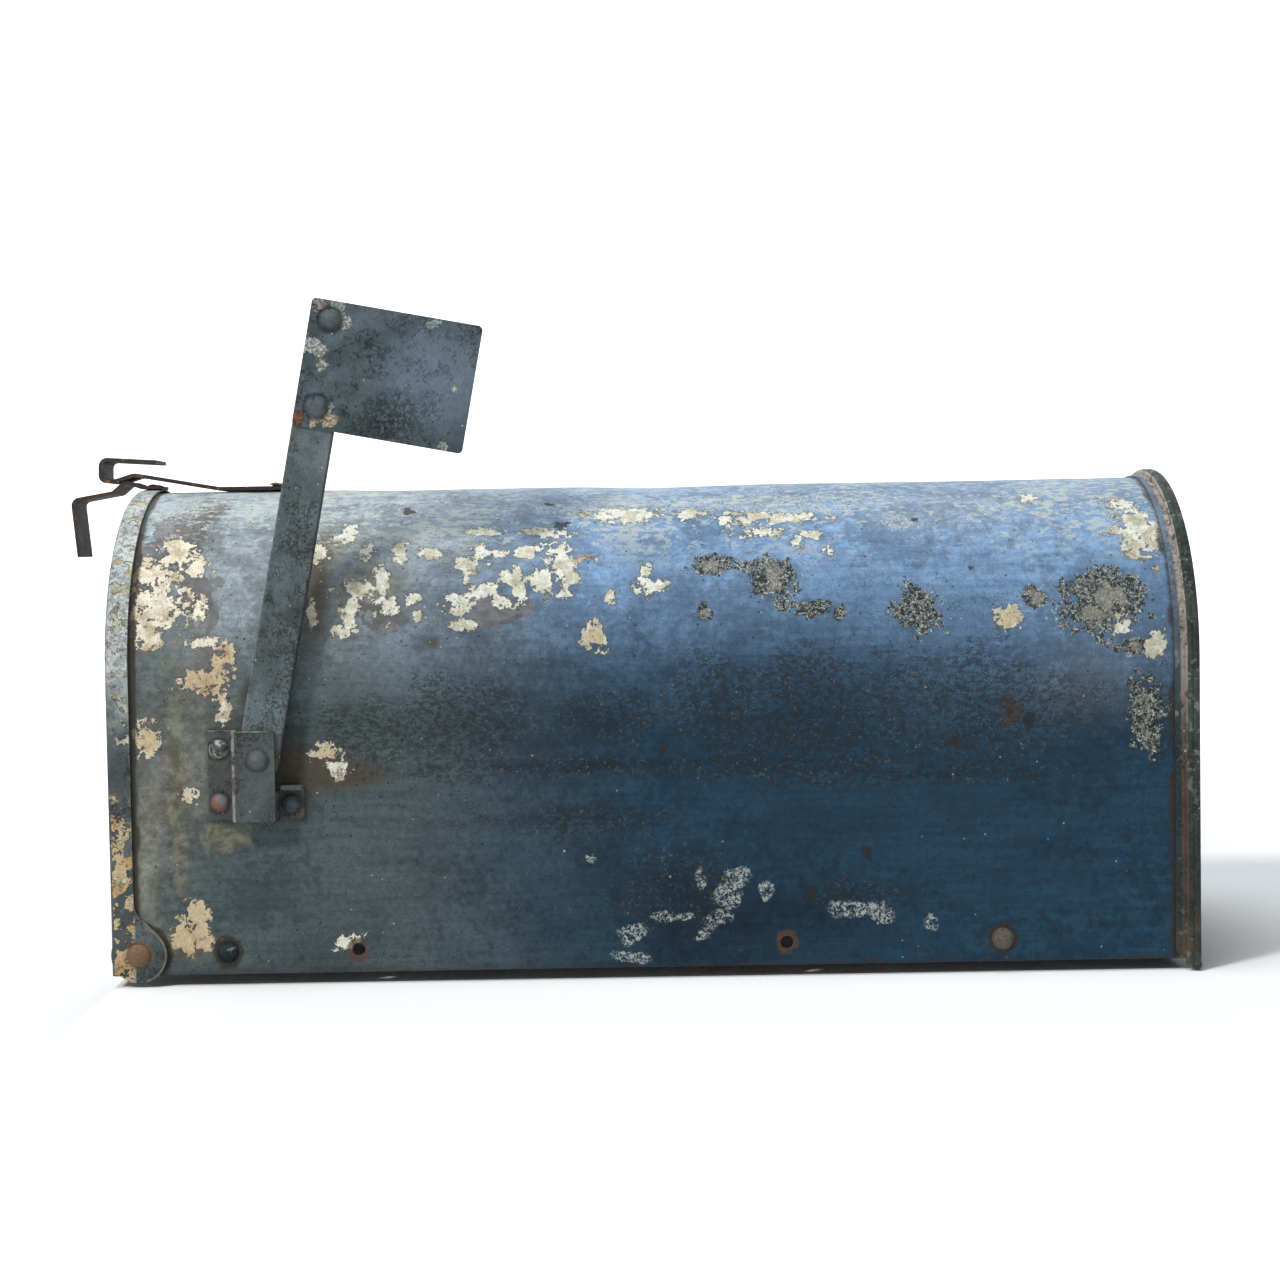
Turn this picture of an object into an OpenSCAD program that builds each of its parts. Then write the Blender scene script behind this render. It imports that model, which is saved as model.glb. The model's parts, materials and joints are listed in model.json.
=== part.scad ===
// Rural post box: a folded steel tunnel with a drop-down door, a spring catch and a signal flag.
// X runs along the box with the door at -X, the flag is on the -Y side, and Z is up.
// The origin is the middle of the floor's underside, where a mounting board seats.

/* [Body] */
// Overall length from the door's face to the rear rim
overall_length = 483; // [400:1:700]
// Width over the side walls
body_width = 165; // [140:1:260]
// Height from the bottom edge to the top of the arch
body_height = 216; // [195:1:340]
// Thickness of the body, floor, door and rear sheets
sheet = 0.8; // [0.5:0.1:1.2]
// Depth of the recess under the floor that takes a mounting board
board_depth = 20; // [18:0.5:30]
// Inside bend radius of the floor's side flanges
floor_bend = 1.5; // [0.5:0.1:3]

/* [Rear rim] */
// How far the rolled rim stands proud of the shell
rim_proud = 3.8; // [2.5:0.1:6]
// Width of the rolled rim along the box
rim_width = 6.2; // [5:0.1:9]
// Length of the thin lip in front of the rolled rim
rim_lip = 4.5; // [2:0.1:8]
// How far the rim reaches below the bottom edge
rim_drop = 2.6; // [0:0.1:5]
// Depth of the rear panel inside the rim
panel_recess = 6; // [3:0.5:15]

/* [Door] */
// Depth of the flange that wraps back over the shell
door_flange = 10.4; // [8:0.1:16]
// Outside radius of the bend between the door's face and flange
door_bend = 2.5; // [1.5:0.1:4]
// Gap between the flange and the shell all round
door_gap = 0.7; // [0.5:0.1:1.5]
// Gap between the door's inner face and the shell's front edge
door_stop_gap = 1.1; // [0.9:0.1:2]
// Distance from the door's face back to the hinge line
hinge_back = 12.4; // [11:0.1:16]
// Height of the hinge line above the bottom edge
hinge_height = 9.2; // [8:0.1:11]
// Radius of the hinge ears
ear_radius = 12.4; // [10:0.1:13]
// Height of the raised edge round each ear
ear_edge = 0.5; // [0.2:0.1:0.8]

/* [Straps] */
// Width of the catch and of the door pull
strap_width = 22; // [14:0.5:30]
// Thickness of the catch
catch_thick = 1.8; // [1:0.1:2]
// Thickness of the door pull
pull_thick = 1.6; // [1:0.1:1.8]
// Distance from the door's face back to the catch's rear end
catch_reach = 70.5; // [60:0.5:100]
// Gap under the catch at its root
catch_seat_gap = 0.3; // [0.1:0.05:0.4]
// Slack under the heads of the catch's rivets, which lets the catch lift
catch_slack = 0.7; // [0.6:0.05:0.9]
// Length of the door pull's finger grip
pull_drop = 27; // [18:0.5:40]

/* [Flag] */
// Length of the flag plate along the box when the flag is up
flag_width = 75; // [50:1:100]
// Height of the flag plate
flag_height = 56; // [40:1:80]
// Thickness of the flag plate
flag_thick = 1.2; // [0.8:0.1:2]
// Distance from the pivot to the flag plate's top edge
flag_reach = 203; // [170:1:260]
// Width of the flag arm
arm_width = 18.5; // [14:0.1:20]
// Thickness of the flag arm
arm_thick = 1.8; // [1.2:0.1:2.5]
// How far the flag leans to the rear as it stands
flag_lean = 10.7; // [0:0.1:20]
// Distance from the door's face back to the flag's pivot
pivot_back = 68.3; // [60:0.1:120]
// Height of the flag's pivot above the bottom edge
pivot_height = 95.7; // [70:0.1:120]

/* [Flag bracket] */
// Thickness of the bracket
bracket_thick = 1.6; // [1:0.1:2]
// Height of the bracket
bracket_height = 39.8; // [36:0.1:50]
// Distance from the shell to the bracket's raised panel
bracket_stand = 8.6; // [8.2:0.1:12]
// Width of the flange that is riveted to the shell
bracket_flange = 12; // [11:0.1:16]
// Width of the small tab that is riveted to the shell
tab_width = 11.4; // [9:0.1:15]
// Gap between the arm's round end and the bracket's stop wall
arm_side_gap = 1.1; // [0.5:0.1:2]
// Gap between the arm and the bracket's raised panel
arm_face_gap = 0.3; // [0.1:0.05:0.5]
// Gap between the lowered arm and the ledge it comes down to
ledge_gap = 2.4; // [0.5:0.1:3]

/* [Fasteners] */
// Distance from the door's face to the front floor rivets
floor_rivet_front = 51.5; // [40:0.5:56]
// Distance from the rear rim to the rear floor rivets
floor_rivet_rear = 87.5; // [30:0.5:110]
// Distance from the door's face to the front screw holes
screw_front = 109.5; // [80:0.5:130]
// Distance between the two screw holes of one side
screw_spacing = 190; // [60:1:200]
// Height of the rivets and screw holes above the bottom edge
fastener_height = 10; // [8:0.5:12]
// Radius of the mounting screw holes
screw_hole_r = 2.9; // [2:0.1:3.5]
// Radius of a large rivet's head
rivet_head_r = 5; // [4:0.1:5.5]
// Height of a large rivet's head
rivet_head_h = 2.4; // [1.2:0.1:3]
// Radius of a rivet's shank
shank_r = 2.3; // [1.8:0.1:2.6]
// Radial clearance round a fixed shank
shank_fit = 0.05; // [0.02:0.01:0.1]
// Radial clearance round a shank that something turns on
pivot_fit = 0.06; // [0.02:0.01:0.1]

/* [Hidden] */
$fn = 64;

slate = [0.26, 0.31, 0.36];
dark_steel = [0.20, 0.16, 0.13];
grey_green = [0.30, 0.34, 0.34];
rust = [0.48, 0.30, 0.20];
cut = 1;                                          // how far a cutter runs past a face
bend_step = 6;                                    // largest turn of one facet in a bend

// Box
wall_r = body_width / 2;                          // outside radius of the arch
inner_r = wall_r - sheet;
bottom_z = -board_depth;
spring_z = bottom_z + body_height - wall_r;       // where the arch starts
top_z = bottom_z + body_height;
face_x = -overall_length / 2;
rear_x = overall_length / 2;
shell_front = face_x + sheet + door_stop_gap;
shell_rear = rear_x - 2 * sheet;
fastener_z = bottom_z + fastener_height;
pan_r = inner_r - shank_fit;                      // outside half width of the floor pan
panel_x = rear_x - panel_recess;                  // outside face of the rear panel

// Door
flange_r = wall_r + door_gap + sheet;             // outside radius of the door's flange
flange_top = bottom_z + body_height - wall_r + flange_r;
hinge_x = face_x + hinge_back;
hinge_z = bottom_z + hinge_height;
swing_clear = 0.8;
swing_r = hinge_back - sheet - swing_clear;       // what the door's face clears as it swings
ear_fillet = 10;
ear_edge_width = 1;

// Catch and door pull, as centre lines seen from the side: x from the door's face, z from the top
catch_root_z = catch_seat_gap + catch_thick / 2;
catch_path = [
    [catch_reach, catch_root_z], [38.5, catch_root_z], [-1.5, 8.35], [-10.3, 5.65],
    [-17.4, 5.65], [-17.1, 16], [9, 14.3]
];
catch_bends = [14, 6, 4, 2.6, 3.2];
pull_root_z = flange_top - top_z + shank_fit + pull_thick / 2;
pull_path = [
    [door_flange - 0.5, pull_root_z], [2, pull_root_z], [-5.8, 5.1], [-11.7, 0.1],
    [-30.9, -3.2], [-28.4, -3 - pull_drop]
];
pull_bends = [2, 4.5, 2.5, 3.2];
strap_rivet_y = strap_width / 4;
catch_bead = 0.1;                                 // how far the rolled rear end stands out
catch_rivet_back = 6;                             // rear end of the catch to its rivets
catch_hole_fit = 0.4;
catch_rivet_x = face_x + catch_reach - catch_rivet_back;
pull_rivet_x = face_x + door_flange / 2 + 1;
small_head_r = 3.2;
small_head_h = 1.2;
small_shank_r = 1.6;
small_tail_h = 1;
pull_head_r = 2.6;
pull_head_h = 0.9;
pull_tail_lip = 0.4;                              // how far the tail reaches past the shank
pull_tail_h = 0.1;
pull_tail_gap = 0.45;                             // the arch falls away under the flat tail

// Large rivets
tail_lip = 1.6;                                   // how far a formed tail reaches past the shank
tail_h = 1.2;
pivot_tail_lip = 2.4;
pivot_tail_h = 1.4;
hinge_head_gap = 0.1;                             // from the ear's raised edge to the head

// Flag
pivot_x = face_x + pivot_back;
pivot_z = bottom_z + pivot_height;
pivot_r = shank_r;
panel_inner = bracket_stand;                      // distances out from the shell's flag side
panel_outer = bracket_stand + bracket_thick;
arm_outer = panel_inner - arm_face_gap;
arm_inner = arm_outer - arm_thick;
arm_end_inset = 3;                                // arm's top end below the plate's top edge
plate_corner = 2;
flag_rivet_upper_up = flag_reach - 8.5;
flag_rivet_lower_up = flag_reach - flag_height + 9.5;
nick_up = 51;
nick_r = 1.6;

// Bracket, as centre lines seen from above: x from the pivot, y out from the shell
stop_wall = arm_width / 2 + arm_side_gap + bracket_thick / 2;
tab_wall = 8.2 - bracket_thick / 2;
bracket_bend = 2;                                 // where the walls meet the raised panel
root_bend = 1.2;                                  // where the walls meet the shell
bracket_left = -stop_wall - bracket_flange;
bracket_mid = bracket_stand + bracket_thick / 2;
bracket_top = 12.8;                               // above the pivot
bracket_low = bracket_top - bracket_height;
ledge_top = -arm_width / 2 - ledge_gap;
ledge_out = panel_outer - bracket_thick;
ledge_bend = 2;
flange_rivet_x = bracket_left + 4.6;
flange_rivets = [4.4, -19.2];
tab_rivet = [tab_wall + 5.7, -19.8];
bracket_head_r = rivet_head_r - 0.7;
bracket_head_h = rivet_head_h - 0.2;
dimple = [-6.9, -9.9];
dimple_r = 2;
dimple_depth = 0.4;

function unit(v) = v / norm(v);
function turned(v) = [-v[1], v[0]];

// One side of a bent strip: its centre line moved sideways, with an arc at each bend
function rail(path, bends, off) = [
    path[0] + turned(unit(path[1] - path[0])) * off,
    for (i = [1 : len(path) - 2])
        let (
            before = unit(path[i] - path[i - 1]),
            after = unit(path[i + 1] - path[i]),
            turn = sign(cross(before, after)),
            angle = acos(before * after),
            centre = path[i] + unit(after - before) * bends[i - 1] / cos(angle / 2),
            from = -turned(before) * turn,
            start = atan2(from[1], from[0]),
            steps = ceil(angle / bend_step)
        )
        for (k = [0 : steps])
            let (at = start + turn * angle * k / steps)
            centre + (bends[i - 1] - turn * off) * [cos(at), sin(at)],
    path[len(path) - 1] + turned(unit(path[len(path) - 1] - path[len(path) - 2])) * off
];

// A bent strip seen from the side, round its centre line
module strip(path, bends, thick) {
    one = rail(path, bends, thick / 2);
    other = rail(path, bends, -thick / 2);
    polygon(concat(one, [for (i = [len(other) - 1 : -1 : 0]) other[i]]));
}

// Takes a drawing of (across, up) to the YZ plane and extrudes it from x = from to x = to
module along_x(from, to) {
    translate([from, 0, 0]) rotate([90, 0, 90]) linear_extrude(to - from) children();
}

// Takes a drawing of (x, up) and extrudes it from y = from to y = to
module along_y(from, to) {
    translate([0, to, 0]) rotate([90, 0, 0]) linear_extrude(to - from) children();
}

// An arch: half a disc on top of straight sides that end at z = low
module arch(r, low) {
    translate([0, spring_z]) intersection() {
        circle(r);
        translate([-r, 0]) square([2 * r, r]);
    }
    translate([-r, low]) square([2 * r, spring_z - low]);
}

// Sweeps a section of (radius, x) over the arch and down both sides to z = low
module sweep_arch(low) {
    translate([0, 0, spring_z]) rotate([90, 0, 90]) {
        rotate_extrude(angle = 180) children();
        for (side = [0, 1])
            mirror([side, 0, 0])
                rotate([90, 0, 0]) linear_extrude(spring_z - low) children();
    }
}

// A rectangle whose far upper corner is rounded
module one_round(w, h, r) {
    square([w - r, h]);
    square([w, h - r]);
    translate([w - r, h - r]) circle(r);
}

module round_square(w, h, r) {
    translate([r, 0]) square([w - 2 * r, h]);
    translate([0, r]) square([w, h - 2 * r]);
    for (x = [r, w - r], y = [r, h - r]) translate([x, y]) circle(r);
}

// A cylinder along Y that cuts through everything between two distances from the middle plane
module hole_y(x, z, r, from, to) {
    translate([x, from, z]) rotate([-90, 0, 0]) cylinder(r = r, h = to - from);
}

// A hole through both side walls
module side_holes(x, z, r) {
    hole_y(x, z, r, -wall_r - cut, -pan_r + floor_bend + cut);
    hole_y(x, z, r, pan_r - floor_bend - cut, wall_r + cut);
}

// A rivet along +Z: domed head above z = 0, a shank below it and a formed tail past the grip
module rivet(head_r, head_h, r, grip, tail_r, tail_h) {
    dome_r = (head_r * head_r + head_h * head_h) / (2 * head_h);
    rotate_extrude() {
        intersection() {
            translate([0, head_h - dome_r]) circle(dome_r);
            square([head_r, head_h]);
        }
        translate([0, -grip]) square([r, grip]);
        translate([0, -grip - tail_h]) square([tail_r, tail_h]);
    }
}

// A large rivet through a side wall: side is -1 for the flag side and 1 for the plain side
module side_rivet(x, z, side, head_y, tail_y, head_r, head_h) {
    translate([x, side * head_y, z])
        rotate([-side * 90, 0, 0])
            rivet(head_r, head_h, shank_r, head_y - tail_y, shank_r + tail_lip, tail_h);
}

// Everything near the hinge line that the swinging door would touch
module door_swing() {
    along_y(-wall_r - cut, wall_r + cut) difference() {
        translate([face_x - cut, bottom_z - cut])
            square([hinge_back + cut, hinge_height + cut]);
        translate([hinge_x, hinge_z]) circle(swing_r);
    }
}

floor_front_x = face_x + floor_rivet_front;
floor_rear_x = rear_x - floor_rivet_rear;
screw_xs = [face_x + screw_front, face_x + screw_front + screw_spacing];
strap_rivet_ys = [-strap_rivet_y, strap_rivet_y];

// Folded tunnel that makes both side walls and the arched top
module shell() {
    color(slate) difference() {
        sweep_arch(bottom_z)
            translate([inner_r, shell_front]) square([sheet, shell_rear - shell_front]);
        door_swing();
        side_holes(hinge_x, hinge_z, shank_r + shank_fit);
        for (x = [floor_front_x, floor_rear_x])
            side_holes(x, fastener_z, shank_r + shank_fit);
        for (x = screw_xs) side_holes(x, fastener_z, screw_hole_r);
        for (z = flange_rivets)
            hole_y(pivot_x + flange_rivet_x, pivot_z + z, shank_r + shank_fit,
                -wall_r - cut, -inner_r + cut);
        hole_y(pivot_x + tab_rivet[0], pivot_z + tab_rivet[1], shank_r + shank_fit,
            -wall_r - cut, -inner_r + cut);
        for (y = strap_rivet_ys)
            translate([catch_rivet_x, y, top_z - 2 * sheet - cut])
                cylinder(r = small_shank_r + shank_fit, h = 2 * sheet + 2 * cut);
    }
}

// Floor sheet with its side flanges folded down to the bottom edge
module floor_pan() {
    outer = floor_bend + sheet;
    color(slate) difference() {
        along_x(shell_front, panel_x - sheet - door_stop_gap) difference() {
            for (side = [0, 1]) mirror([side, 0])
                translate([0, bottom_z]) one_round(pan_r, board_depth + sheet, outer);
            for (side = [0, 1]) mirror([side, 0])
                translate([-cut, bottom_z - cut])
                    one_round(pan_r - sheet + cut, board_depth + cut, floor_bend);
        }
        door_swing();
        side_holes(hinge_x, hinge_z, shank_r + shank_fit);
        for (x = [floor_front_x, floor_rear_x])
            side_holes(x, fastener_z, shank_r + shank_fit);
        for (x = screw_xs) side_holes(x, fastener_z, screw_hole_r);
    }
}

// Dished rear panel whose edge is rolled over the end of the shell
module rear_panel() {
    bead_r = rim_proud / 2;
    bead_valley = 0.8;                            // height between the two beads, as a part of one
    bead_end = 0.4;                               // how much rounder the rim's folded ends are
    rim_r = wall_r + rim_proud;
    lip_r = wall_r + shank_fit;
    color(slate) {
        along_x(panel_x - sheet, panel_x) arch(pan_r, bottom_z);
        sweep_arch(bottom_z) {
            translate([pan_r - sheet, panel_x - sheet])
                square([sheet, panel_recess + sheet]);
            translate([pan_r - sheet, rear_x - sheet])
                square([rim_r - bead_r - pan_r + sheet, sheet]);
        }
        sweep_arch(bottom_z - rim_drop) {
            for (x = [rear_x - bead_r, rear_x - rim_width + bead_r])
                translate([rim_r - bead_r, x]) circle(bead_r);
            translate([lip_r, rear_x - rim_width])
                square([rim_r - bead_r - lip_r, rim_width]);
            translate([rim_r - bead_r, rear_x - rim_width + bead_r])
                square([bead_r * bead_valley, rim_width - 2 * bead_r]);
        }
        sweep_arch(bottom_z)
            translate([lip_r, rear_x - rim_width - rim_lip])
                square([sheet, rim_lip + cut]);
        for (side = [-1, 1])
            translate([rear_x - bead_r, side * (rim_r - bead_r), bottom_z - rim_drop])
                sphere(bead_r + bead_end);
    }
}

// Hinge ear seen from the side, drawn round the hinge line
module ear_shape() {
    flange_back = door_flange - hinge_back;       // the flange's rear edge
    tangent = ear_radius * sin(45);
    corner = 2 * tangent - flange_back;           // where the sloping edge meets the flange
    fillet_run = ear_fillet * tan(22.5);
    fillet_slope = fillet_run * sin(45);
    circle(ear_radius);
    polygon([[flange_back - 4, 0], [0, 0], [tangent, tangent], [flange_back, corner],
        [flange_back - 4, corner]]);
    difference() {
        polygon([[flange_back - 1, corner + fillet_run], [flange_back, corner + fillet_run],
            [flange_back + fillet_slope, corner - fillet_slope], [flange_back - 1, corner - 1]]);
        translate([flange_back + ear_fillet, corner + fillet_run]) circle(ear_fillet);
    }
}

// Stamped door with a flange all round its arch and an ear at each bottom corner
module door() {
    inner_bend = door_bend - sheet;
    fold = 2 * door_bend + cut;                   // radial depth of the swept corner section
    color(slate) difference() {
        union() {
            along_x(face_x, face_x + sheet) arch(flange_r - door_bend, bottom_z);
            sweep_arch(bottom_z)
                translate([flange_r - fold, face_x + door_flange])
                    mirror([0, 1]) difference() {
                        one_round(fold, door_flange, door_bend);
                        translate([-cut, -cut])
                            one_round(fold - sheet + cut, door_flange - sheet + cut,
                                inner_bend);
                    }
            for (side = [0, 1]) mirror([0, side, 0]) {
                along_y(-flange_r, -flange_r + sheet)
                    translate([hinge_x, hinge_z]) ear_shape();
                along_y(-flange_r - ear_edge, -flange_r + sheet / 2)
                    translate([hinge_x, hinge_z]) intersection() {
                        difference() {
                            circle(ear_radius);
                            circle(ear_radius - ear_edge_width);
                        }
                        translate([ear_radius * 0.35, -ear_radius])
                            square([ear_radius, 2 * ear_radius * 0.85]);
                    }
            }
        }
        hole_y(hinge_x, hinge_z, shank_r + pivot_fit, -flange_r - cut, -flange_r + sheet + cut);
        hole_y(hinge_x, hinge_z, shank_r + pivot_fit, flange_r - sheet - cut, flange_r + cut);
        for (y = strap_rivet_ys)
            translate([pull_rivet_x, y, flange_top - 2 * sheet - cut])
                cylinder(r = small_shank_r + shank_fit, h = 2 * sheet + 2 * cut);
    }
}

// Bent strap on the door's top edge: a hump for the catch, then a finger grip
module door_pull() {
    color(dark_steel) difference() {
        along_y(-strap_width / 2, strap_width / 2)
            translate([face_x, top_z]) strip(pull_path, pull_bends, pull_thick);
        for (y = strap_rivet_ys)
            translate([pull_rivet_x, y, top_z + pull_root_z - pull_thick])
                cylinder(r = small_shank_r + shank_fit, h = 2 * pull_thick);
    }
}

// Springy strap on the arch: it tips on its rolled rear end, dips in front of the pull's hump
// and ends in a finger tab
module catch_strap() {
    color(dark_steel) difference() {
        union() {
            along_y(-strap_width / 2, strap_width / 2)
                translate([face_x, top_z]) strip(catch_path, catch_bends, catch_thick);
            translate([face_x + catch_reach, 0, top_z + catch_root_z]) rotate([90, 0, 0])
                cylinder(r = catch_thick / 2 + catch_bead, h = strap_width, center = true);
        }
        for (y = strap_rivet_ys)
            translate([catch_rivet_x, y, top_z + catch_root_z - catch_thick])
                cylinder(r = small_shank_r + catch_hole_fit, h = 2 * catch_thick);
    }
}

// Folded bracket that holds the flag's pivot off the side wall
module flag_bracket() {
    half = bracket_thick / 2;
    flat = half + shank_fit;
    wall_path = [[bracket_left, flat], [-stop_wall, flat], [-stop_wall, bracket_mid],
        [tab_wall, bracket_mid]];
    tab_path = [[0, bracket_mid], [tab_wall, bracket_mid], [tab_wall, flat],
        [tab_wall + tab_width, flat]];
    ledge_path = [[flat, bracket_low], [flat, ledge_top - half], [ledge_out, ledge_top - half]];
    ledge_left = tab_wall + root_bend + half;
    color(grey_green) translate([pivot_x, -wall_r, pivot_z]) difference() {
        union() {
            translate([0, 0, bracket_low]) mirror([0, 1, 0]) {
                linear_extrude(bracket_height)
                    strip(wall_path, [root_bend, bracket_bend], bracket_thick);
                linear_extrude(ledge_top - ledge_bend - half - bracket_low)
                    strip(tab_path, [bracket_bend, root_bend], bracket_thick);
            }
            translate([ledge_left, 0, 0]) rotate([90, 0, 90]) mirror([1, 0, 0])
                linear_extrude(tab_wall + tab_width - ledge_left)
                    strip(ledge_path, [ledge_bend], bracket_thick);
        }
        hole_y(0, 0, pivot_r + shank_fit, -panel_outer - cut, -panel_inner + cut);
        hole_y(dimple[0], dimple[1], dimple_r, -panel_outer - cut, -panel_outer + dimple_depth);
        for (z = flange_rivets)
            hole_y(flange_rivet_x, z, shank_r + shank_fit, -bracket_thick - cut, cut);
        hole_y(tab_rivet[0], tab_rivet[1], shank_r + shank_fit, -bracket_thick - cut, cut);
    }
}

// Puts what is drawn upright round the flag's pivot at the flag's resting lean
module on_flag() {
    translate([pivot_x, -wall_r, pivot_z]) rotate([0, flag_lean, 0]) children();
}

// Flat arm with a full round end on the pivot
module flag_arm() {
    color(grey_green) on_flag() difference() {
        along_y(-arm_outer, -arm_inner) {
            circle(arm_width / 2);
            translate([-arm_width / 2, 0])
                square([arm_width, flag_reach - arm_end_inset]);
        }
        hole_y(0, 0, pivot_r + pivot_fit, -arm_outer - cut, -arm_inner + cut);
        for (up = [flag_rivet_upper_up, flag_rivet_lower_up])
            hole_y(0, up, shank_r + shank_fit, -arm_outer - cut, -arm_inner + cut);
        hole_y(arm_width / 2 + nick_r / 2, nick_up, nick_r, -arm_outer - cut, -arm_inner + cut);
    }
}

// Flag plate on the outer face of the arm, flush with the arm's front edge
module flag_plate() {
    color(grey_green) on_flag() difference() {
        along_y(-arm_outer - flag_thick, -arm_outer)
            translate([-arm_width / 2, flag_reach - flag_height])
                round_square(flag_width, flag_height, plate_corner);
        for (up = [flag_rivet_upper_up, flag_rivet_lower_up])
            hole_y(0, up, shank_r + shank_fit, -arm_outer - flag_thick - cut, -arm_outer + cut);
    }
}

module flag_rivet(up) {
    color(grey_green) on_flag() translate([0, -arm_outer - flag_thick, up])
        rotate([90, 0, 0])
            rivet(rivet_head_r, rivet_head_h, shank_r, arm_thick + flag_thick,
                shank_r + tail_lip, tail_h);
}

module flag_pivot_rivet() {
    grip = panel_outer - arm_inner + arm_face_gap;
    color(grey_green) translate([pivot_x, -wall_r - panel_outer, pivot_z])
        rotate([90, 0, 0])
            rivet(rivet_head_r, rivet_head_h, pivot_r, grip, pivot_r + pivot_tail_lip,
                pivot_tail_h);
}

// Rivet through the door's ear, the shell and the floor pan's flange
module hinge_rivet(side) {
    color(rust)
        side_rivet(hinge_x, hinge_z, side, flange_r + ear_edge + hinge_head_gap, pan_r - sheet,
            rivet_head_r, rivet_head_h);
}

module floor_rivet(x, side) {
    color(slate)
        side_rivet(x, fastener_z, side, wall_r, pan_r - sheet, rivet_head_r, rivet_head_h);
}

module bracket_rivet(at) {
    color(grey_green)
        side_rivet(pivot_x + at[0], pivot_z + at[1], -1, wall_r + shank_fit + bracket_thick,
            inner_r, bracket_head_r, bracket_head_h);
}

// Small rivet of the catch: its head stands off the strap by the slack
module catch_rivet(y) {
    head_z = top_z + catch_seat_gap + catch_thick + catch_slack;
    arch_drop = inner_r - sqrt(inner_r * inner_r - pow(strap_rivet_y + small_head_r, 2));
    grip = head_z - (top_z - sheet) + arch_drop;
    color(dark_steel) translate([catch_rivet_x, y, head_z])
        rivet(small_head_r, small_head_h, small_shank_r, grip, small_head_r, small_tail_h);
}

module pull_rivet(y) {
    head_z = top_z + pull_root_z + pull_thick / 2;
    grip = head_z - (flange_top - sheet) + pull_tail_gap;
    color(dark_steel) translate([pull_rivet_x, y, head_z])
        rivet(pull_head_r, pull_head_h, small_shank_r, grip, small_shank_r + pull_tail_lip,
            pull_tail_h);
}

shell();
floor_pan();
rear_panel();
door();
door_pull();
catch_strap();
flag_bracket();
flag_arm();
flag_plate();
hinge_rivet(-1);  // hinge_rivet_flag_side
hinge_rivet(1);  // hinge_rivet_plain_side
floor_rivet(floor_front_x, -1);  // floor_rivet_flag_side_front
floor_rivet(floor_rear_x, -1);  // floor_rivet_flag_side_rear
floor_rivet(floor_front_x, 1);  // floor_rivet_plain_side_front
floor_rivet(floor_rear_x, 1);  // floor_rivet_plain_side_rear
catch_rivet(-strap_rivet_y);  // catch_rivet_flag_side
catch_rivet(strap_rivet_y);  // catch_rivet_plain_side
pull_rivet(-strap_rivet_y);  // pull_rivet_flag_side
pull_rivet(strap_rivet_y);  // pull_rivet_plain_side
bracket_rivet([flange_rivet_x, flange_rivets[0]]);  // bracket_rivet_upper
bracket_rivet([flange_rivet_x, flange_rivets[1]]);  // bracket_rivet_lower
bracket_rivet(tab_rivet);  // bracket_rivet_tab
flag_pivot_rivet();
flag_rivet(flag_rivet_upper_up);  // flag_rivet_upper
flag_rivet(flag_rivet_lower_up);  // flag_rivet_lower
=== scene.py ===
import math

import bmesh
import bpy
import numpy as np
from mathutils import Matrix, Vector
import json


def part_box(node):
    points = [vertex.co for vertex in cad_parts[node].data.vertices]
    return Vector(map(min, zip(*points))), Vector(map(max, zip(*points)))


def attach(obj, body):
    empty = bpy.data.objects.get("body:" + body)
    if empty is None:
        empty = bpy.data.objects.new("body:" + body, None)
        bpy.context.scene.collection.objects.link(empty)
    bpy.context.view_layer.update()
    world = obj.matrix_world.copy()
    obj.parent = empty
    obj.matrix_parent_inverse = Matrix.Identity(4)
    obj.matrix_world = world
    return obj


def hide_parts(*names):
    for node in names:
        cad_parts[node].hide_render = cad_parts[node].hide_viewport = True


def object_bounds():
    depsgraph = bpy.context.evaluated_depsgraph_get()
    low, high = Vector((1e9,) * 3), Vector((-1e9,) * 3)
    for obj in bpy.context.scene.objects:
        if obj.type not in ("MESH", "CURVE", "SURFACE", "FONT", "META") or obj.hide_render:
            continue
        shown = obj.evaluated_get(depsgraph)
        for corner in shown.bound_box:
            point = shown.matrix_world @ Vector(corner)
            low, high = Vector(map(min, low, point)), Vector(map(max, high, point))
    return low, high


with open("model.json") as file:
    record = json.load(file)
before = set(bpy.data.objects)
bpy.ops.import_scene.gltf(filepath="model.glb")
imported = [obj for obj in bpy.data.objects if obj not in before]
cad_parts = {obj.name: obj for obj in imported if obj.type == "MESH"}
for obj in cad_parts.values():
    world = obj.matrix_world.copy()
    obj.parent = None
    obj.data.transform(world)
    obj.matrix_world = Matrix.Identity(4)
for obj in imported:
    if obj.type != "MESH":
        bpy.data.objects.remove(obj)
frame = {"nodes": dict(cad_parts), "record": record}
CAD_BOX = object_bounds()
MM = 0.001

# -------- sizes from the frame
SHELL_LO, SHELL_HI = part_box("shell")
WALL_R = (SHELL_HI.y - SHELL_LO.y) / 2          # outside radius of the arch
SPRING_Z = SHELL_HI.z - WALL_R                  # where the arch starts
WALL_H = SPRING_Z - SHELL_LO.z                  # height of the straight sides
ARCH_LENGTH = math.pi * WALL_R
GIRTH = 2 * WALL_H + ARCH_LENGTH                # bottom edge to bottom edge over the arch
SHEET = 0.8 * MM
FLANGE_DEPTH = 10.4 * MM                        # how far the door's flange reaches back from its face
RIM_WIDTH = 6.2 * MM                            # the rear panel's roll, along the box
ARM_HALF = 9.25 * MM                            # half the flag arm's width
PANEL_HALF = 10.8 * MM                          # half the width of the bracket's raised panel
UNSPOTTED = -1.6                                # a damage field's value away from all its spots


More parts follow.
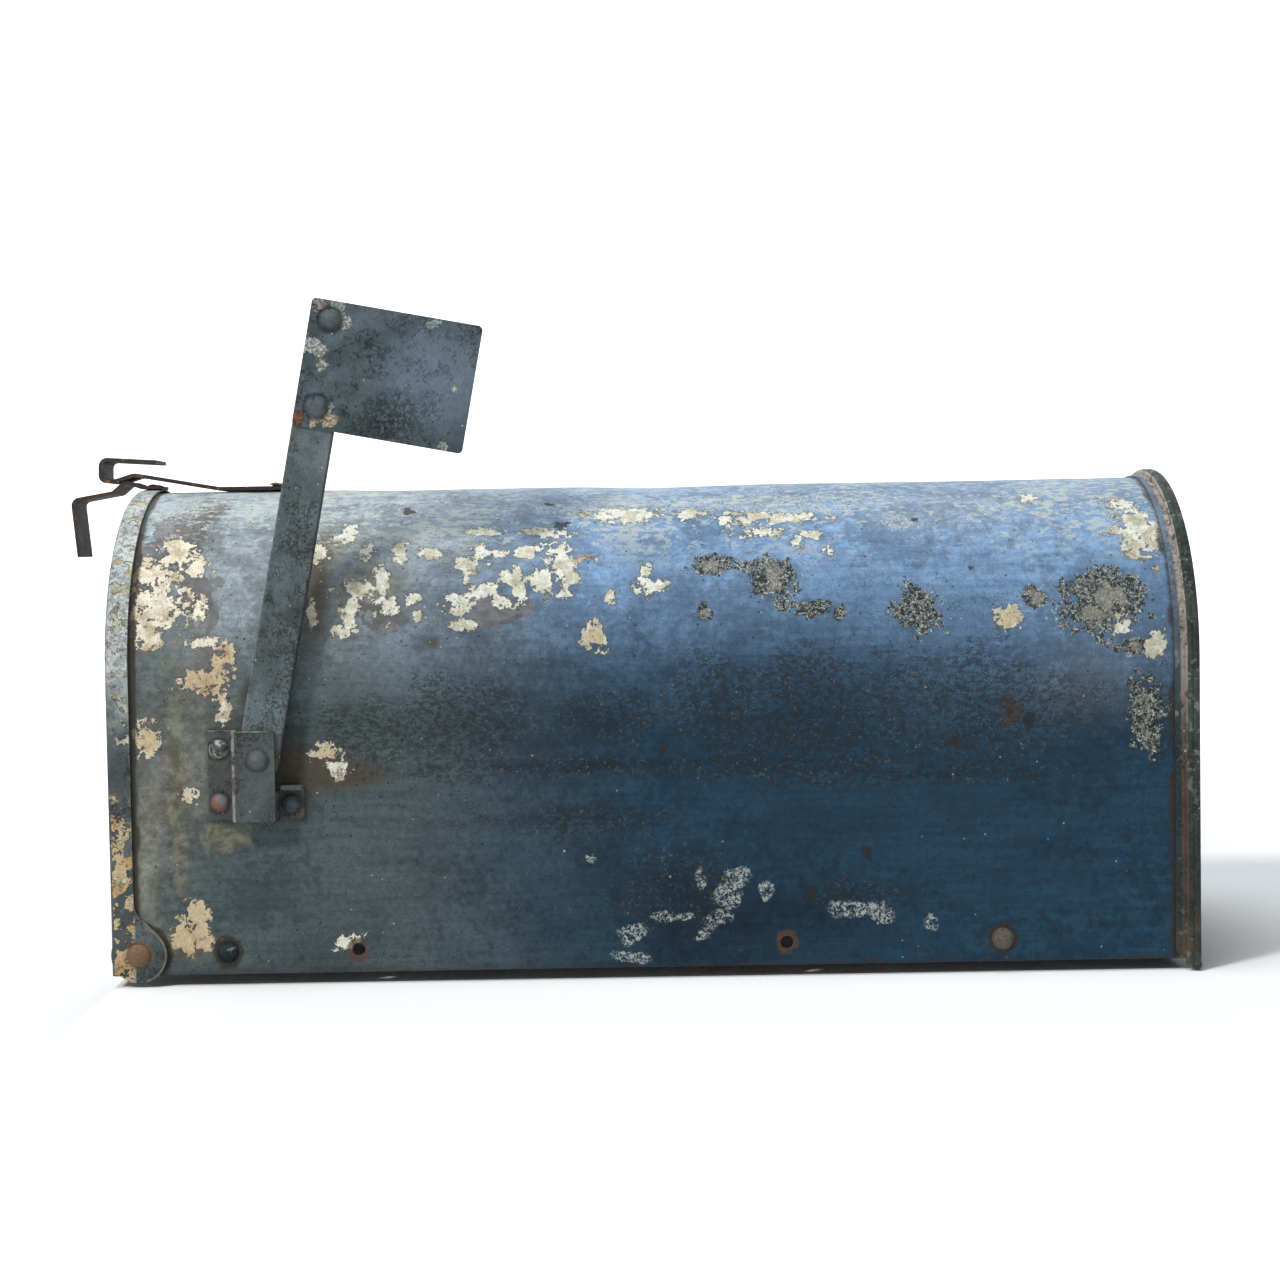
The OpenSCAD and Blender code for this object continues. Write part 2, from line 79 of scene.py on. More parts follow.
def middle(node):
    """The middle of a CAD piece's box."""
    lo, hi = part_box(node)
    return (lo + hi) / 2


def screw_holes():
    """The middle of the flag side's mounting holes, and their sizes."""
    for m in frame["record"]["mounts"]:
        if m["name"] == "board_screws_flag_side":
            return m["pos_m"], m["dims"]
    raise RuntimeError("the record has no flag side screw holes")


HINGE = middle("hinge_rivet_flag_side")
PIVOT = middle("flag_pivot_rivet")

# -------- where the paint is damaged
# Each row is an oval: x, distance round the girth from the flag side's bottom edge, and two radii, in mm.
CREAM = [
    (-211, 193, 6, 8), (-202, 184, 4, 5), (-218, 166, 12, 11), (-223, 151, 4, 5),
    (-200, 163, 3, 4), (-198, 148, 7, 2), (-189, 140, 4, 8), (-199, 129, 9, 4), (-222, 180, 8, 6),
    (-190, 116, 2, 6), (-205, 80, 3, 2), (-148, 192, 3, 5), (-137, 203, 4, 5),
    (-125, 192, 4, 4), (-113, 190, 3, 5), (-100, 190, 4, 2), (-129, 171, 7, 3),
    (-120, 178, 2, 5), (-117, 163, 4, 4), (-133, 160, 3, 7), (-137, 152, 2, 2),
    (-151, 161, 2, 4), (-105, 166, 2, 2), (-101, 158, 1.5, 2), (-84, 182, 5, 5),
    (-85, 165, 7, 4), (-74, 170, 5, 3), (-83, 153, 5, 2), (-71, 188, 8, 4),
    (-55, 190, 6, 3), (-42, 187, 5, 5), (-49, 175, 4, 5), (-37, 178, 5, 5),
    (-61, 176, 3, 4), (-66, 164, 4, 2), (-58, 167, 2, 4), (-38, 167, 4, 2),
    (-42, 201, 10, 2), (-76, 202, 5, 2), (-10, 214, 16, 4), (18, 214, 5, 3),
    (-2, 171, 6, 4), (-3, 179, 2, 3), (-17, 166, 2, 2), (59, 209, 17, 3),
    (49, 198, 8, 3), (34, 208, 3, 4), (73, 196, 4, 2), (81, 188, 2, 3), (67, 191, 2, 2),
    (175, 223, 4, 4), (222, 198, 8, 12), (218, 213, 5, 6), (209, 148, 3, 4),
    (222, 140, 4, 4), (-139, 92, 4, 3), (-144, 97, 5, 3), (-204, 27, 5, 4),
    (-201, 21, 2, 4), (-208, 16, 6, 4), (-201, 15, 4, 3), (-207, 11, 3, 2),
    (-138, 12, 4, 3), (-135, 16, 3, 2),
]
TAN = [
    (-224, 104, 4, 6), (-30, 185, 6, 2), (-24, 148, 4, 4), (158, 152, 4, 4), (-144, 97, 5, 3),
    (-205, 18, 14, 14), (-199, 129, 10, 6), (-190, 137, 6, 10),
]
LICHEN = [
    (30, 181, 12, 5), (55, 173, 12, 12), (24, 158, 3, 4), (74, 158, 8, 4), (84, 155, 3, 5),
    (118, 157, 11, 11), (200, 161, 19, 17), (196, 156, 9, 11), (170, 162, 6, 4),
    (213, 139, 6, 4), (218, 111, 8, 17),
]
PALE = [
    (-216, 226, 12, 15), (114, 204, 9, 6), (156, 216, 8, 7), (37, 39, 5, 4), (33, 31, 6, 5),
    (27, 21, 5, 4), (22, 13, 3, 2), (21, 38, 2, 4), (4, 22, 6, 3), (14, 22, 4, 2),
    (-11, 15, 6, 4), (-29, 50, 2, 2), (89, 24, 11, 3), (101, 21, 4, 2), (121, 19, 2, 3),
    (50, 33, 3, 4), (-11, 5, 9, 2), (213, 139, 4, 4), (-10, 220, 40, 9), (60, 222, 50, 9),
]
DARK = [
    (-46, 225, 2, 3), (-111, 220, 4, 4), (-40, 206, 4, 3), (133, 97, 5, 3), (70, 31, 2, 4),
    (94, 49, 2, 4), (3, 98, 2, 4), (166, 108, 4, 4), (144, 176, 2, 2), (120, 206, 2, 2),
]
GRAIN = [
    (28, 118, 26, 26), (67, 115, 30, 26), (154, 114, 56, 26), (218, 111, 12, 22),
    (12, 34, 30, 22), (-24, 89, 92, 5), (-78, 112, 34, 22), (-20, 112, 30, 14), (-126, 106, 26, 14),
    (60, 88, 50, 6), (130, 84, 70, 4), (90, 30, 26, 8), (-30, 66, 40, 8),
]
STAIN = [
    (-150, 91, 20, 12), (-142, 88, 26, 8), (-150, 170, 9, 34), (240, 30, 12, 46),
    (158, 112, 5, 8), (-175, 126, 8, 12), (-97, 146, 3, 3),
]
OLIVE = [
    (-211, 87, 5, 58), (-208, 14, 14, 8), (-146, 190, 9, 22), (-124, 172, 18, 14),
    (-190, 62, 12, 8),
]
PRIMER = [
    (-226, 172, 8, 34), (-212, 200, 12, 28), (-205, 172, 10, 14), (-203, 222, 7, 14),
    (-196, 160, 5, 8), (-120, 158, 14, 6), (-66, 158, 12, 8), (-196, 138, 6, 8),
]
# The paint's colours, lighter up high and greyer at the door partly as painted sheen and reflection: low
# down at the rear and at the door, on the shoulder, and along the top
NAVY, SLATE = (0.011, 0.036, 0.063), (0.056, 0.074, 0.078)
SKY, ASH = (0.140, 0.230, 0.362), (0.21, 0.245, 0.26)
CHALK_AND_SHEEN, RIDGE = (0.30, 0.35, 0.39), (0.15, 0.19, 0.20)
DUST, SHADE_BLACK = (0.32, 0.30, 0.24), (0.0, 0.0, 0.0)
# x, distance up, two spreads and how far the paint goes there: to chalky fade with painted sheen, to warm
# dust, and to black as painted shade
FADE_AND_SHEEN = [
    (-184, 166, 15, 32, 0.55), (-182, 222, 18, 18, 0.50), (-225, 236, 14, 28, 1.0),
    (-98, 206, 46, 20, 0.30), (150, 205, 60, 18, 0.18), (134, 212, 22, 12, 0.35),
    (104, 205, 22, 10, 0.25), (198, 132, 26, 14, 0.14),
]
DUSTY = [
    (-224, 60, 8, 52, 0.50), (-205, 98, 11, 40, 0.34), (-188, 108, 8, 18, 0.20), (190, 116, 26, 12, 0.10),
]
PAINTED_SHADE = [
    (-203, 208, 10, 26, 0.35), (18, 14, 44, 26, 0.45), (-60, 98, 50, 12, 0.12), (64, 98, 56, 14, 0.30),
    (70, 66, 36, 16, 0.2), (76, 18, 30, 14, 0.40), (-150, 12, 20, 9, 0.30), (0, 196, 14, 12, 0.22),
    (214, 232, 26, 20, 0.25), (70, 226, 52, 12, 0.20),
]
# Dents: x, distance round the girth, two spreads and depth, in mm
DENTS = [
    (-18, 140, 26, 16, 0.55), (42, 150, 7, 34, 0.4), (150, 120, 34, 18, 0.5), (96, 60, 40, 22, 0.4),
    (-90, 70, 30, 20, 0.35), (60, 352, 30, 22, 0.9), (-120, 400, 34, 20, 0.6), (170, 330, 22, 26, 0.7),
    (10, 262, 30, 20, 0.6),
]


# -------- fields over the shell
def lattice(x, y, cell, seed):
    """Smooth noise from -1 to 1 with features about a cell wide."""
    u, v = x / cell + seed * 17.3, y / cell + seed * 5.1
    iu, iv = np.floor(u), np.floor(v)
    fu, fv = u - iu, v - iv

    def value(a, b):
        h = np.sin(a * 127.1 + b * 311.7 + seed * 74.7) * 43758.5453
        return 2 * (h - np.floor(h)) - 1

    wu, wv = fu * fu * (3 - 2 * fu), fv * fv * (3 - 2 * fv)
    low = value(iu, iv) * (1 - wu) + value(iu + 1, iv) * wu
    high = value(iu, iv + 1) * (1 - wu) + value(iu + 1, iv + 1) * wu
    return low * (1 - wv) + high * wv


def spots(x, s, rows):
    """1 in the middle of a spot, 0 at its edge and less outside, down to UNSPOTTED."""
    field = np.full(x.shape, UNSPOTTED)
    for cx, cs, rx, rs in rows:
        away = np.hypot((x - cx) / (rx + 0.6), (s - cs) / (rs + 0.6))
        field = np.maximum(field, 1 - away)
    return field


def smooth(low, high, v):
    """0 before low, 1 past high and smooth between; low may be the larger."""
    t = np.clip((v - low) / (high - low), 0, 1)
    return t * t * (3 - 2 * t)


def mirrored_spots(seed, count, size):
    """Scattered spots for the side that the flag isn't on."""
    rng = np.random.default_rng(seed)
    girth = GIRTH / MM
    rows = []
    for _ in range(count):
        r = size * rng.uniform(0.5, 1.6)
        rows.append((rng.uniform(-232, 228), girth / 2 + girth / 2 * rng.beta(1.3, 1.6),
                     r * rng.uniform(0.8, 1.8), r * rng.uniform(0.6, 1.2)))
    return rows


def tone_at(x, s):
    """Colour of the paint, the same on both sides of the box: lighter up the shoulder and towards the crest
    and greyer towards the door, partly faded paint and partly painted sheen and reflection, and black in
    patches of painted shade.
    """
    up = np.minimum(s, GIRTH / MM - s)
    wave = lattice(x, s, 48, 1) + 0.5 * lattice(x, s, 19, 2)

    def blend(a, b, t):
        return np.asarray(a) + (np.asarray(b) - np.asarray(a)) * t[:, None]

    # greyer towards the door and bluer at the rear: partly painted reflection
    rear = smooth(-145, 0, x + 14 * wave)
    low, shoulder = blend(SLATE, NAVY, rear), blend(ASH, SKY, rear)
    # lighter up the shoulder: fade with painted sheen
    rise = smooth(106 - 20 * smooth(70, 150, x), 196, up + 7 * wave)
    colour = low + (shoulder - low) * rise[:, None]
    # paler towards the crest: fade with painted sheen
    colour = blend(colour, CHALK_AND_SHEEN, 0.35 * smooth(200, 235, up + 8 * wave))
    colour = blend(colour, RIDGE, 0.7 * smooth(248, 262, up + 3 * wave))
    # patches of fade with painted sheen, of warm dust, and of painted shade
    for rows, gone_to in ((FADE_AND_SHEEN, CHALK_AND_SHEEN), (DUSTY, DUST), (PAINTED_SHADE, SHADE_BLACK)):
        for cx, cs, rx, rs, amount in rows:
            near = np.exp(-((x - cx + 5 * wave) / rx) ** 2 - ((up - cs + 5 * wave) / rs) ** 2)
            colour = blend(colour, gone_to, amount * near)
    mottle = 1 + 0.10 * lattice(x, s, 33, 6) + 0.10 * lattice(x, s, 12, 8) + 0.07 * lattice(x, s, 5, 9)
    return colour * mottle[:, None]


def shade_and_grime_at(x, s):
    """Painted shade in the corners: by the door's flange and the rear rim, round the rivets, the bracket and
    the hinge ear; and a dark worn line along the bottom edge.
    """
    low = np.minimum(s, GIRTH / MM - s)
    wave = lattice(x, s, 9, 21) + 0.6 * lattice(x, s, 4, 22)
    grime = smooth(-226.5, -230, x + 0.8 * wave)
    grime = np.maximum(grime, 0.75 * smooth(226, 231, x + 1.2 * wave))
    grime = np.maximum(grime, 0.5 * smooth(4.5, 0.5, low + wave))
    for node in ("floor_rivet_flag_side_front", "floor_rivet_flag_side_rear"):
        at = middle(node)
        away = np.hypot(x - at.x / MM, low - (at.z - SHELL_LO.z) / MM)
        grime = np.maximum(grime, smooth(8.2, 5.2, away + 0.7 * wave))
    lo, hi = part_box("flag_bracket")
    dx = np.maximum(np.maximum(lo.x / MM - x, x - hi.x / MM), 0)
    dz = np.maximum(np.maximum((lo.z - SHELL_LO.z) / MM - s, s - (hi.z - SHELL_LO.z) / MM), 0)
    grime = np.maximum(grime, 0.45 * smooth(3.4, 0.4, np.hypot(dx, dz) + 0.7 * wave))
    ear = np.hypot(x - HINGE.x / MM, low - (HINGE.z - SHELL_LO.z) / MM)
    return np.maximum(grime, smooth(16.5, 12.8, ear + 0.8 * wave))


def rust_at(x, s):
    """Rust that has crept out from the screw holes and the ends of the straps."""
    low = np.minimum(s, GIRTH / MM - s)
    place, dims = screw_holes()
    rust = np.zeros(x.shape)
    for side in (-1, 1):
        away = np.hypot(x - place[0] / MM - side * dims["spacing_x_mm"] / 2,
                        low - (place[2] - SHELL_LO.z) / MM)
        rust = np.maximum(rust, smooth(6.2, 3.6, away + 0.9 * lattice(x, s, 4, 23)))
    end = middle("catch_rivet_flag_side")
    away = np.hypot((x - end.x / MM) / 1.6, s - GIRTH / MM / 2)
    return np.maximum(rust, smooth(17, 10, away + 2 * lattice(x, s, 7, 24)))


def dents(x, s):
    """How far the sheet is pushed in, in mm, over positions in mm."""
    up = np.minimum(s, GIRTH / MM - s)
    free = smooth(6, 30, up) * smooth(-226, -205, x) * smooth(226, 205, x)
    on_flag_side = s < GIRTH / MM / 2
    around = np.hypot((x - PIVOT.x / MM - 2) / 40, (s - (PIVOT.z - SHELL_LO.z) / MM + 6) / 40)
    free *= np.where(on_flag_side, smooth(0.8, 1.3, around), 1)
    crown = np.hypot((x - middle("catch_strap").x / MM) / 70, (s - GIRTH / MM / 2) / 25)
    free *= smooth(0.9, 1.4, crown)
    push = 0.45 + 0.30 * lattice(x, s, 70, 3) + 0.14 * lattice(x, s, 28, 4)
    for cx, cs, rx, rs, deep in DENTS:
        push = push + deep * np.exp(-((x - cx) / rx) ** 2 - ((s - cs) / rs) ** 2)
    return np.clip(push, 0, 3) * free


def on_shell(x, s, deep):
    """Positions in mm along the box, over its girth and under the surface, to metres."""
    x, s, deep = x * MM, s * MM, deep * MM
    r = WALL_R - deep
    turn = np.clip((s - WALL_H) / WALL_R, 0, math.pi)
    z = SPRING_Z + r * np.sin(turn) + np.minimum(s - WALL_H, 0)
    z -= np.maximum(s - WALL_H - ARCH_LENGTH, 0)
    return np.stack([x, -r * np.cos(turn), z], -1)


def round_corner(x, s):
    """Pulls the corners at the hinges in to the round that the door swings about."""
    girth, clear, core = GIRTH / MM, 10.5, 4.0      # within core of the hinge nothing is pulled
    hinge_x, hinge_up = HINGE.x / MM, (HINGE.z - SHELL_LO.z) / MM
    reach_x = hinge_x - SHELL_LO.x / MM
    for side in (0, 1):
        low = s if side == 0 else girth - s
        dx, dz = hinge_x - x, hinge_up - low
        away = np.hypot(dx, dz)
        inside = (dx > 0) & (dz > 0)
        ax, az = np.abs(dx) + 1e-9, np.abs(dz) + 1e-9
        edge = away * np.minimum(reach_x / ax, hinge_up / az)
        keep = np.minimum(edge, clear)
        pulled = core + (away - core) * (keep - core) / np.maximum(edge - core, 1e-6)
        pulled = np.where(away < core, away, pulled)
        k = np.where(inside, pulled / np.maximum(away, 1e-9), 1)
        x = np.where(inside, hinge_x - dx * k, x)
        low = np.where(inside, hinge_up - dz * k, low)
        s = low if side == 0 else girth - low
    return x, s


# -------- the shell's mesh
def add_object(name, data):
    made = bpy.data.objects.new(name, data)
    bpy.context.scene.collection.objects.link(made)
    return made


def cut_hole(bm, cx, cs, r, cell):
    """Opens a round hole through both surfaces of the sheet and closes its edge."""
    def close(point, layer, reach):
        return abs(point.z - layer) < 0.1 and (point.xy - Vector((cx, cs))).length < reach

    rings = []
    for layer in (0, 1):
        reach = r + cell * (1.0 if layer == 0 else 1.9)
        doomed = [f for f in bm.faces if close(f.calc_center_median(), layer, reach)]
        bmesh.ops.delete(bm, geom=doomed, context="FACES")
        near = [e for e in bm.edges
                if e.is_boundary and all(close(v.co, layer, reach + 3 * cell) for v in e.verts)]
        steps = 40
        ring = [bm.verts.new((cx + r * math.cos(2 * math.pi * k / steps),
                              cs + r * math.sin(2 * math.pi * k / steps), layer))
                for k in range(steps)]
        edges = [bm.edges.new((ring[k], ring[(k + 1) % steps])) for k in range(steps)]
        bmesh.ops.triangle_fill(bm, edges=near + edges, use_beauty=True, normal=(0, 0, 1))
        rings.append(ring)
    outer, inner = rings
    for k in range(len(outer)):
        n = (k + 1) % len(outer)
        bm.faces.new((outer[k], outer[n], inner[n], inner[k]))


def shell_grid():
    """The sheet's outer and inner surfaces as a flat grid of (x, s, layer), closed at the edges."""
    girth = GIRTH / MM
    xs = np.linspace(SHELL_LO.x / MM, SHELL_HI.x / MM, 301)
    ss = np.concatenate([
        np.linspace(0, 124, 62, endpoint=False), np.linspace(124, 230, 76, endpoint=False),
        np.linspace(230, girth / 2, 16, endpoint=False), np.linspace(girth / 2, girth, 79)])
    if len(ss) % 2 == 0:
        ss = np.delete(ss, -2)
    nx, ns = len(xs), len(ss)
    outer = [(x, s, 0) for s in ss for x in xs]
    inner = [(x, s, 1) for s in ss[::2] for x in xs[::2]]
    hx, start = (nx + 1) // 2, nx * ns

    def o(i, j):
        return j * nx + i

    def n(i, j):
        return start + (j // 2) * hx + i // 2

    faces = [(o(i, j), o(i + 1, j), o(i + 1, j + 1), o(i, j + 1))
             for j in range(ns - 1) for i in range(nx - 1)]
    faces += [(n(i, j), n(i, j + 2), n(i + 2, j + 2), n(i + 2, j))
              for j in range(0, ns - 2, 2) for i in range(0, nx - 2, 2)]
    border = ([((i, 0), (i + 1, 0), (i + 2, 0)) for i in range(0, nx - 2, 2)]
              + [((nx - 1, j), (nx - 1, j + 1), (nx - 1, j + 2)) for j in range(0, ns - 2, 2)]
              + [((i, ns - 1), (i - 1, ns - 1), (i - 2, ns - 1)) for i in range(nx - 1, 1, -2)]
              + [((0, j), (0, j - 1), (0, j - 2)) for j in range(ns - 1, 1, -2)])
    for a, b, c in border:
        faces += [(o(*b), o(*a), n(*a)), (o(*b), n(*a), n(*c)), (o(*c), o(*b), n(*c))]
    return outer + inner, faces


def build_shell():
    """The shell's own mesh, with the CAD's outline, holes and thickness and the look's dents."""
    verts, faces = shell_grid()
    mesh = bpy.data.meshes.new("shell_sheet")
    mesh.from_pydata(verts, [], faces)
    bm = bmesh.new()
    bm.from_mesh(mesh)
    place, dims = screw_holes()
    up = (place[2] - SHELL_LO.z) / MM
    for dx in (-dims["spacing_x_mm"] / 2, dims["spacing_x_mm"] / 2):
        for s in (up, GIRTH / MM - up):
            cut_hole(bm, place[0] / MM + dx, s, dims["hole_r_mm"], 2.0 if s == up else 3.4)
    bmesh.ops.recalc_face_normals(bm, faces=bm.faces)
    bm.to_mesh(mesh)
    bm.free()
    flat = np.zeros(len(mesh.vertices) * 3)
    mesh.vertices.foreach_get("co", flat)
    flat = flat.reshape(-1, 3)
    x, s, layer = flat[:, 0], flat[:, 1], flat[:, 2]
    paint_fields(mesh, x, s)
    wx, ws = round_corner(x, s)
    placed = on_shell(wx, ws, dents(x, s) + layer * SHEET / MM)
    mesh.vertices.foreach_set("co", placed.ravel())
    inside = np.array([min(layer[i] for i in p.vertices) > 0.5 for p in mesh.polygons])
    mesh.polygons.foreach_set("material_index", inside.astype(np.int32))
    mesh.polygons.foreach_set("use_smooth", [True] * len(mesh.polygons))
    mesh.set_sharp_from_angle(angle=math.radians(50))
    mesh.update()
    return add_object("shell_sheet", mesh)


def paint_fields(mesh, x, s):
    """Where the paint has flaked, gone grainy, stained or faded, where painted shade falls, and its tone
    with painted sheen and shade in it, as values on the mesh.
    """
    wx = x + 1.6 * lattice(x, s, 7, 11) + 0.8 * lattice(x, s, 3.2, 12)
    ws = s + 1.6 * lattice(x, s, 7, 13) + 0.8 * lattice(x, s, 3.2, 14)
    other = mirrored_spots(5, 46, 4.5)      # the plain side, which the photo doesn't show
    fields = {
        # bare under the first five tan spots too; of the plain side's 46 spots, 34 are bare and 9 tan
        "cream": spots(wx, ws, CREAM + TAN[:5] + other[:34]),
        "tan": spots(wx, ws, TAN + other[:9]),
        "lichen": spots(wx, ws, LICHEN + mirrored_spots(8, 9, 11)),
        "pale": spots(wx, ws, PALE + mirrored_spots(9, 16, 7)),
        "dark": spots(wx, ws, DARK + mirrored_spots(10, 14, 3)),
        "grain": spots(wx, ws, GRAIN + mirrored_spots(12, 7, 26)),
        "stain": spots(wx, ws, STAIN + mirrored_spots(13, 3, 7)),
        "olive": spots(wx, ws, OLIVE + mirrored_spots(14, 4, 9)),
        "primer": spots(wx, ws, PRIMER + mirrored_spots(15, 5, 8)),
        "drift": 0.5 + 0.19 * (lattice(x, s, 40, 31) + 0.6 * lattice(x, s, 17, 32)
                               + 0.4 * lattice(x, s, 7, 33) + 0.25 * lattice(x, s, 3, 34)),
        # painted shade in the corners, and a dark worn line along the bottom edge
        "grime": shade_and_grime_at(x, s),
        "rust": rust_at(x, s),
    }
    for name, value in fields.items():
        layer = mesh.attributes.new(name, "FLOAT", "POINT")
        layer.data.foreach_set("value", value.astype(np.float32))
    tone = mesh.attributes.new("tone", "FLOAT_COLOR", "POINT")
    rgba = np.concatenate([tone_at(x, s), np.ones((len(x), 1))], 1)
    tone.data.foreach_set("color", rgba.astype(np.float32).ravel())


# -------- shader building
def plug(socket, value):
    """Gives a socket a value or another node's output."""
    if isinstance(value, bpy.types.NodeSocket):
        socket.id_data.links.new(value, socket)
    elif hasattr(socket.default_value, "__len__"):
        socket.default_value = (tuple(value) + (1.0,))[:len(socket.default_value)]
    else:
        socket.default_value = value


def new_node(tree, kind, values=(), **settings):
    """Adds a node; values fill its inputs in order, or by number or name where they are a dict."""
    n = tree.nodes.new(kind)
    for key, value in settings.items():
        setattr(n, key, value)
    for key, value in (values if isinstance(values, dict) else dict(enumerate(values))).items():
        plug(n.inputs[key], value)
    return n


class Graph:
    """Adds shader nodes to one material; the noises that its layers share are kept on it."""

    def __init__(self, name):
        self.mat = bpy.data.materials.new(name)
        self.mat.use_nodes = True
        self.tree = self.mat.node_tree
        self.shader = self.tree.nodes["Principled BSDF"]
        self.place = self.add("ShaderNodeTexCoord").outputs["Object"]

    def add(self, kind, values=(), **settings):
        return new_node(self.tree, kind, values, **settings)

    def calc(self, op, a, b=0.0, c=0.5):
        return self.add("ShaderNodeMath", (a, b, c), operation=op).outputs[0]

    def vec(self, op, a, b=(0, 0, 0)):
        out = self.add("ShaderNodeVectorMath", (a, b), operation=op).outputs
        return out["Value" if op in ("LENGTH", "DOT_PRODUCT") else "Vector"]

    def times(self, a, b):
        return self.calc("MULTIPLY", a, b)

    def most(self, a, b):
        return self.calc("MAXIMUM", a, b)

    def line(self, value, slope, start):
        return self.calc("MULTIPLY_ADD", value, slope, start)

    def step(self, value, low, high):
        """0 below low, 1 above high and smooth between; low may be the larger."""
        flip = low > high
        values = (value, min(low, high), max(low, high), float(flip), float(not flip))
        return self.add("ShaderNodeMapRange", values, interpolation_type="SMOOTHSTEP").outputs[0]

    def zone(self, base, low, high, **weights):
        """A step over a value, or a field's name, plus so much of each of the graph's own noises."""
        base = self.field(base) if isinstance(base, str) else base
        return self.step(self.sum(base, *((getattr(self, k), w) for k, w in weights.items())), low, high)

    def mix(self, factor, a, b):
        return self.add("ShaderNodeMix", {0: factor, 6: a, 7: b}, data_type="RGBA").outputs[2]

    def blend(self, factor, a, b):
        return self.add("ShaderNodeMix", {0: factor, 2: a, 3: b}, data_type="FLOAT").outputs[0]

    def stretch(self, x, y, z):
        return self.vec("MULTIPLY", self.place, (x, y, z))

    def distance(self, centre):
        """How far from a place."""
        return self.vec("LENGTH", self.vec("SUBTRACT", self.place, centre))

    def off_axis(self, centre):
        """How far from the line that runs across the box through a place."""
        return self.vec("LENGTH", self.vec("SUBTRACT", self.stretch(1, 0, 1), (centre.x, 0, centre.z)))

    def noise(self, scale, detail=4.0, rough=0.55, at=None, warp=0.0):
        return self.add("ShaderNodeTexNoise", {
            "Vector": at or self.place, "Scale": scale, "Detail": detail, "Roughness": rough,
            "Distortion": warp}).outputs[0]

    def cells(self, scale, feature="F1", at=None):
        values = {"Vector": at or self.place, "Scale": scale}
        return self.add("ShaderNodeTexVoronoi", values, feature=feature)

    def chips(self, scale, size, at=None):
        """Noise that is level within each chip of paint; size is how many cells a unit holds."""
        return self.noise(scale, 2, 0.7, at=self.cells(size, at=at).outputs["Position"])

    def cover(self, amount, mask, colour, over):
        """colour with some of another over it where the mask is 1."""
        return self.mix(self.times(mask, amount), colour, over)

    def past(self, normal, offset, width):
        """1 beyond a plane and 0 more than a width before it."""
        reach = self.vec("DOT_PRODUCT", self.place, tuple(normal))
        return self.step(reach, offset - width, offset)

    def dots(self, scale, size, share):
        """Small dots: 1 inside them. size is part of a cell, share how many cells have one."""
        n = self.cells(scale)
        there = self.step(self.vec("DOT_PRODUCT", n.outputs["Color"], (1, 0, 0)),
                          1 - share, 1 - share + 0.01)
        return self.times(self.step(n.outputs["Distance"], size, size * 0.7), there)

    def sum(self, first, *terms):
        """first plus each (value, weight) of the terms."""
        for value, weight in terms:
            first = self.line(value, weight, first)
        return first

    def scale(self, colour, amount):
        return self.add("ShaderNodeVectorMath", {0: colour, "Scale": amount}, operation="SCALE").outputs[0]

    def grained(self, colour, noise):
        return self.scale(colour, self.calc("ADD", noise, 0.5))

    def noise_colour(self, scale):
        n = self.add("ShaderNodeTexNoise", {"Vector": self.place, "Scale": scale})
        return self.vec("SUBTRACT", n.outputs["Color"], (0.5, 0.5, 0.5))

    def field(self, name, output="Fac"):
        """A value that the mesh carries."""
        return self.add("ShaderNodeAttribute", attribute_name=name).outputs[output]

    def axis(self, which):
        return self.add("ShaderNodeSeparateXYZ", [self.place]).outputs[which]

    def bump(self, height, distance):
        return self.add("ShaderNodeBump", {"Height": height, "Distance": distance}).outputs[0]

    def finish(self, colour, rough, normal, specular=0.3):
        for key, value in (("Base Color", colour), ("Roughness", rough), ("Normal", normal),
                           ("Specular IOR Level", specular)):
            plug(self.shader.inputs[key], value)
        return self.mat


# The flag plate's crusty spots: across from the arm's middle line, up from the pivot, radius and colour
CRUST_WHITE, CRUST_CREAM = (0.50, 0.52, 0.48), (0.52, 0.44, 0.32)
FLAG_SPOTS = [
    (-6, 201, 3.8, (0.40, 0.36, 0.33)), (1.5, 201, 3.0, CRUST_WHITE), (6.5, 195, 3.0, CRUST_WHITE),
    (-6.5, 182, 5.4, CRUST_WHITE), (0, 174.5, 2.5, (0.44, 0.47, 0.37)), (-7, 150, 3.4, (0.21, 0.095, 0.060)),
    (0.5, 149.5, 4.2, CRUST_CREAM), (5, 151.5, 4.2, CRUST_CREAM), (5.5, 156.5, 3.0, CRUST_WHITE),
    (45, 201, 3.4, (0.37, 0.43, 0.42)), (57, 149, 2.0, CRUST_WHITE), (58, 174, 1.5, CRUST_WHITE),
]

# Colours that several finishes share
CREAM_LIGHT, CREAM_DEEP = (0.74, 0.68, 0.55), (0.50, 0.42, 0.28)
WHITE_LIGHT, WHITE_DEEP = (0.70, 0.695, 0.60), (0.48, 0.45, 0.33)
OCHRE, ORANGE = (0.46, 0.29, 0.13), (0.36, 0.16, 0.055)
TAWNY, OATMEAL = (0.40, 0.235, 0.105), (0.57, 0.46, 0.285)
BROWN, BLACK = (0.075, 0.045, 0.025), (0.008, 0.009, 0.009)


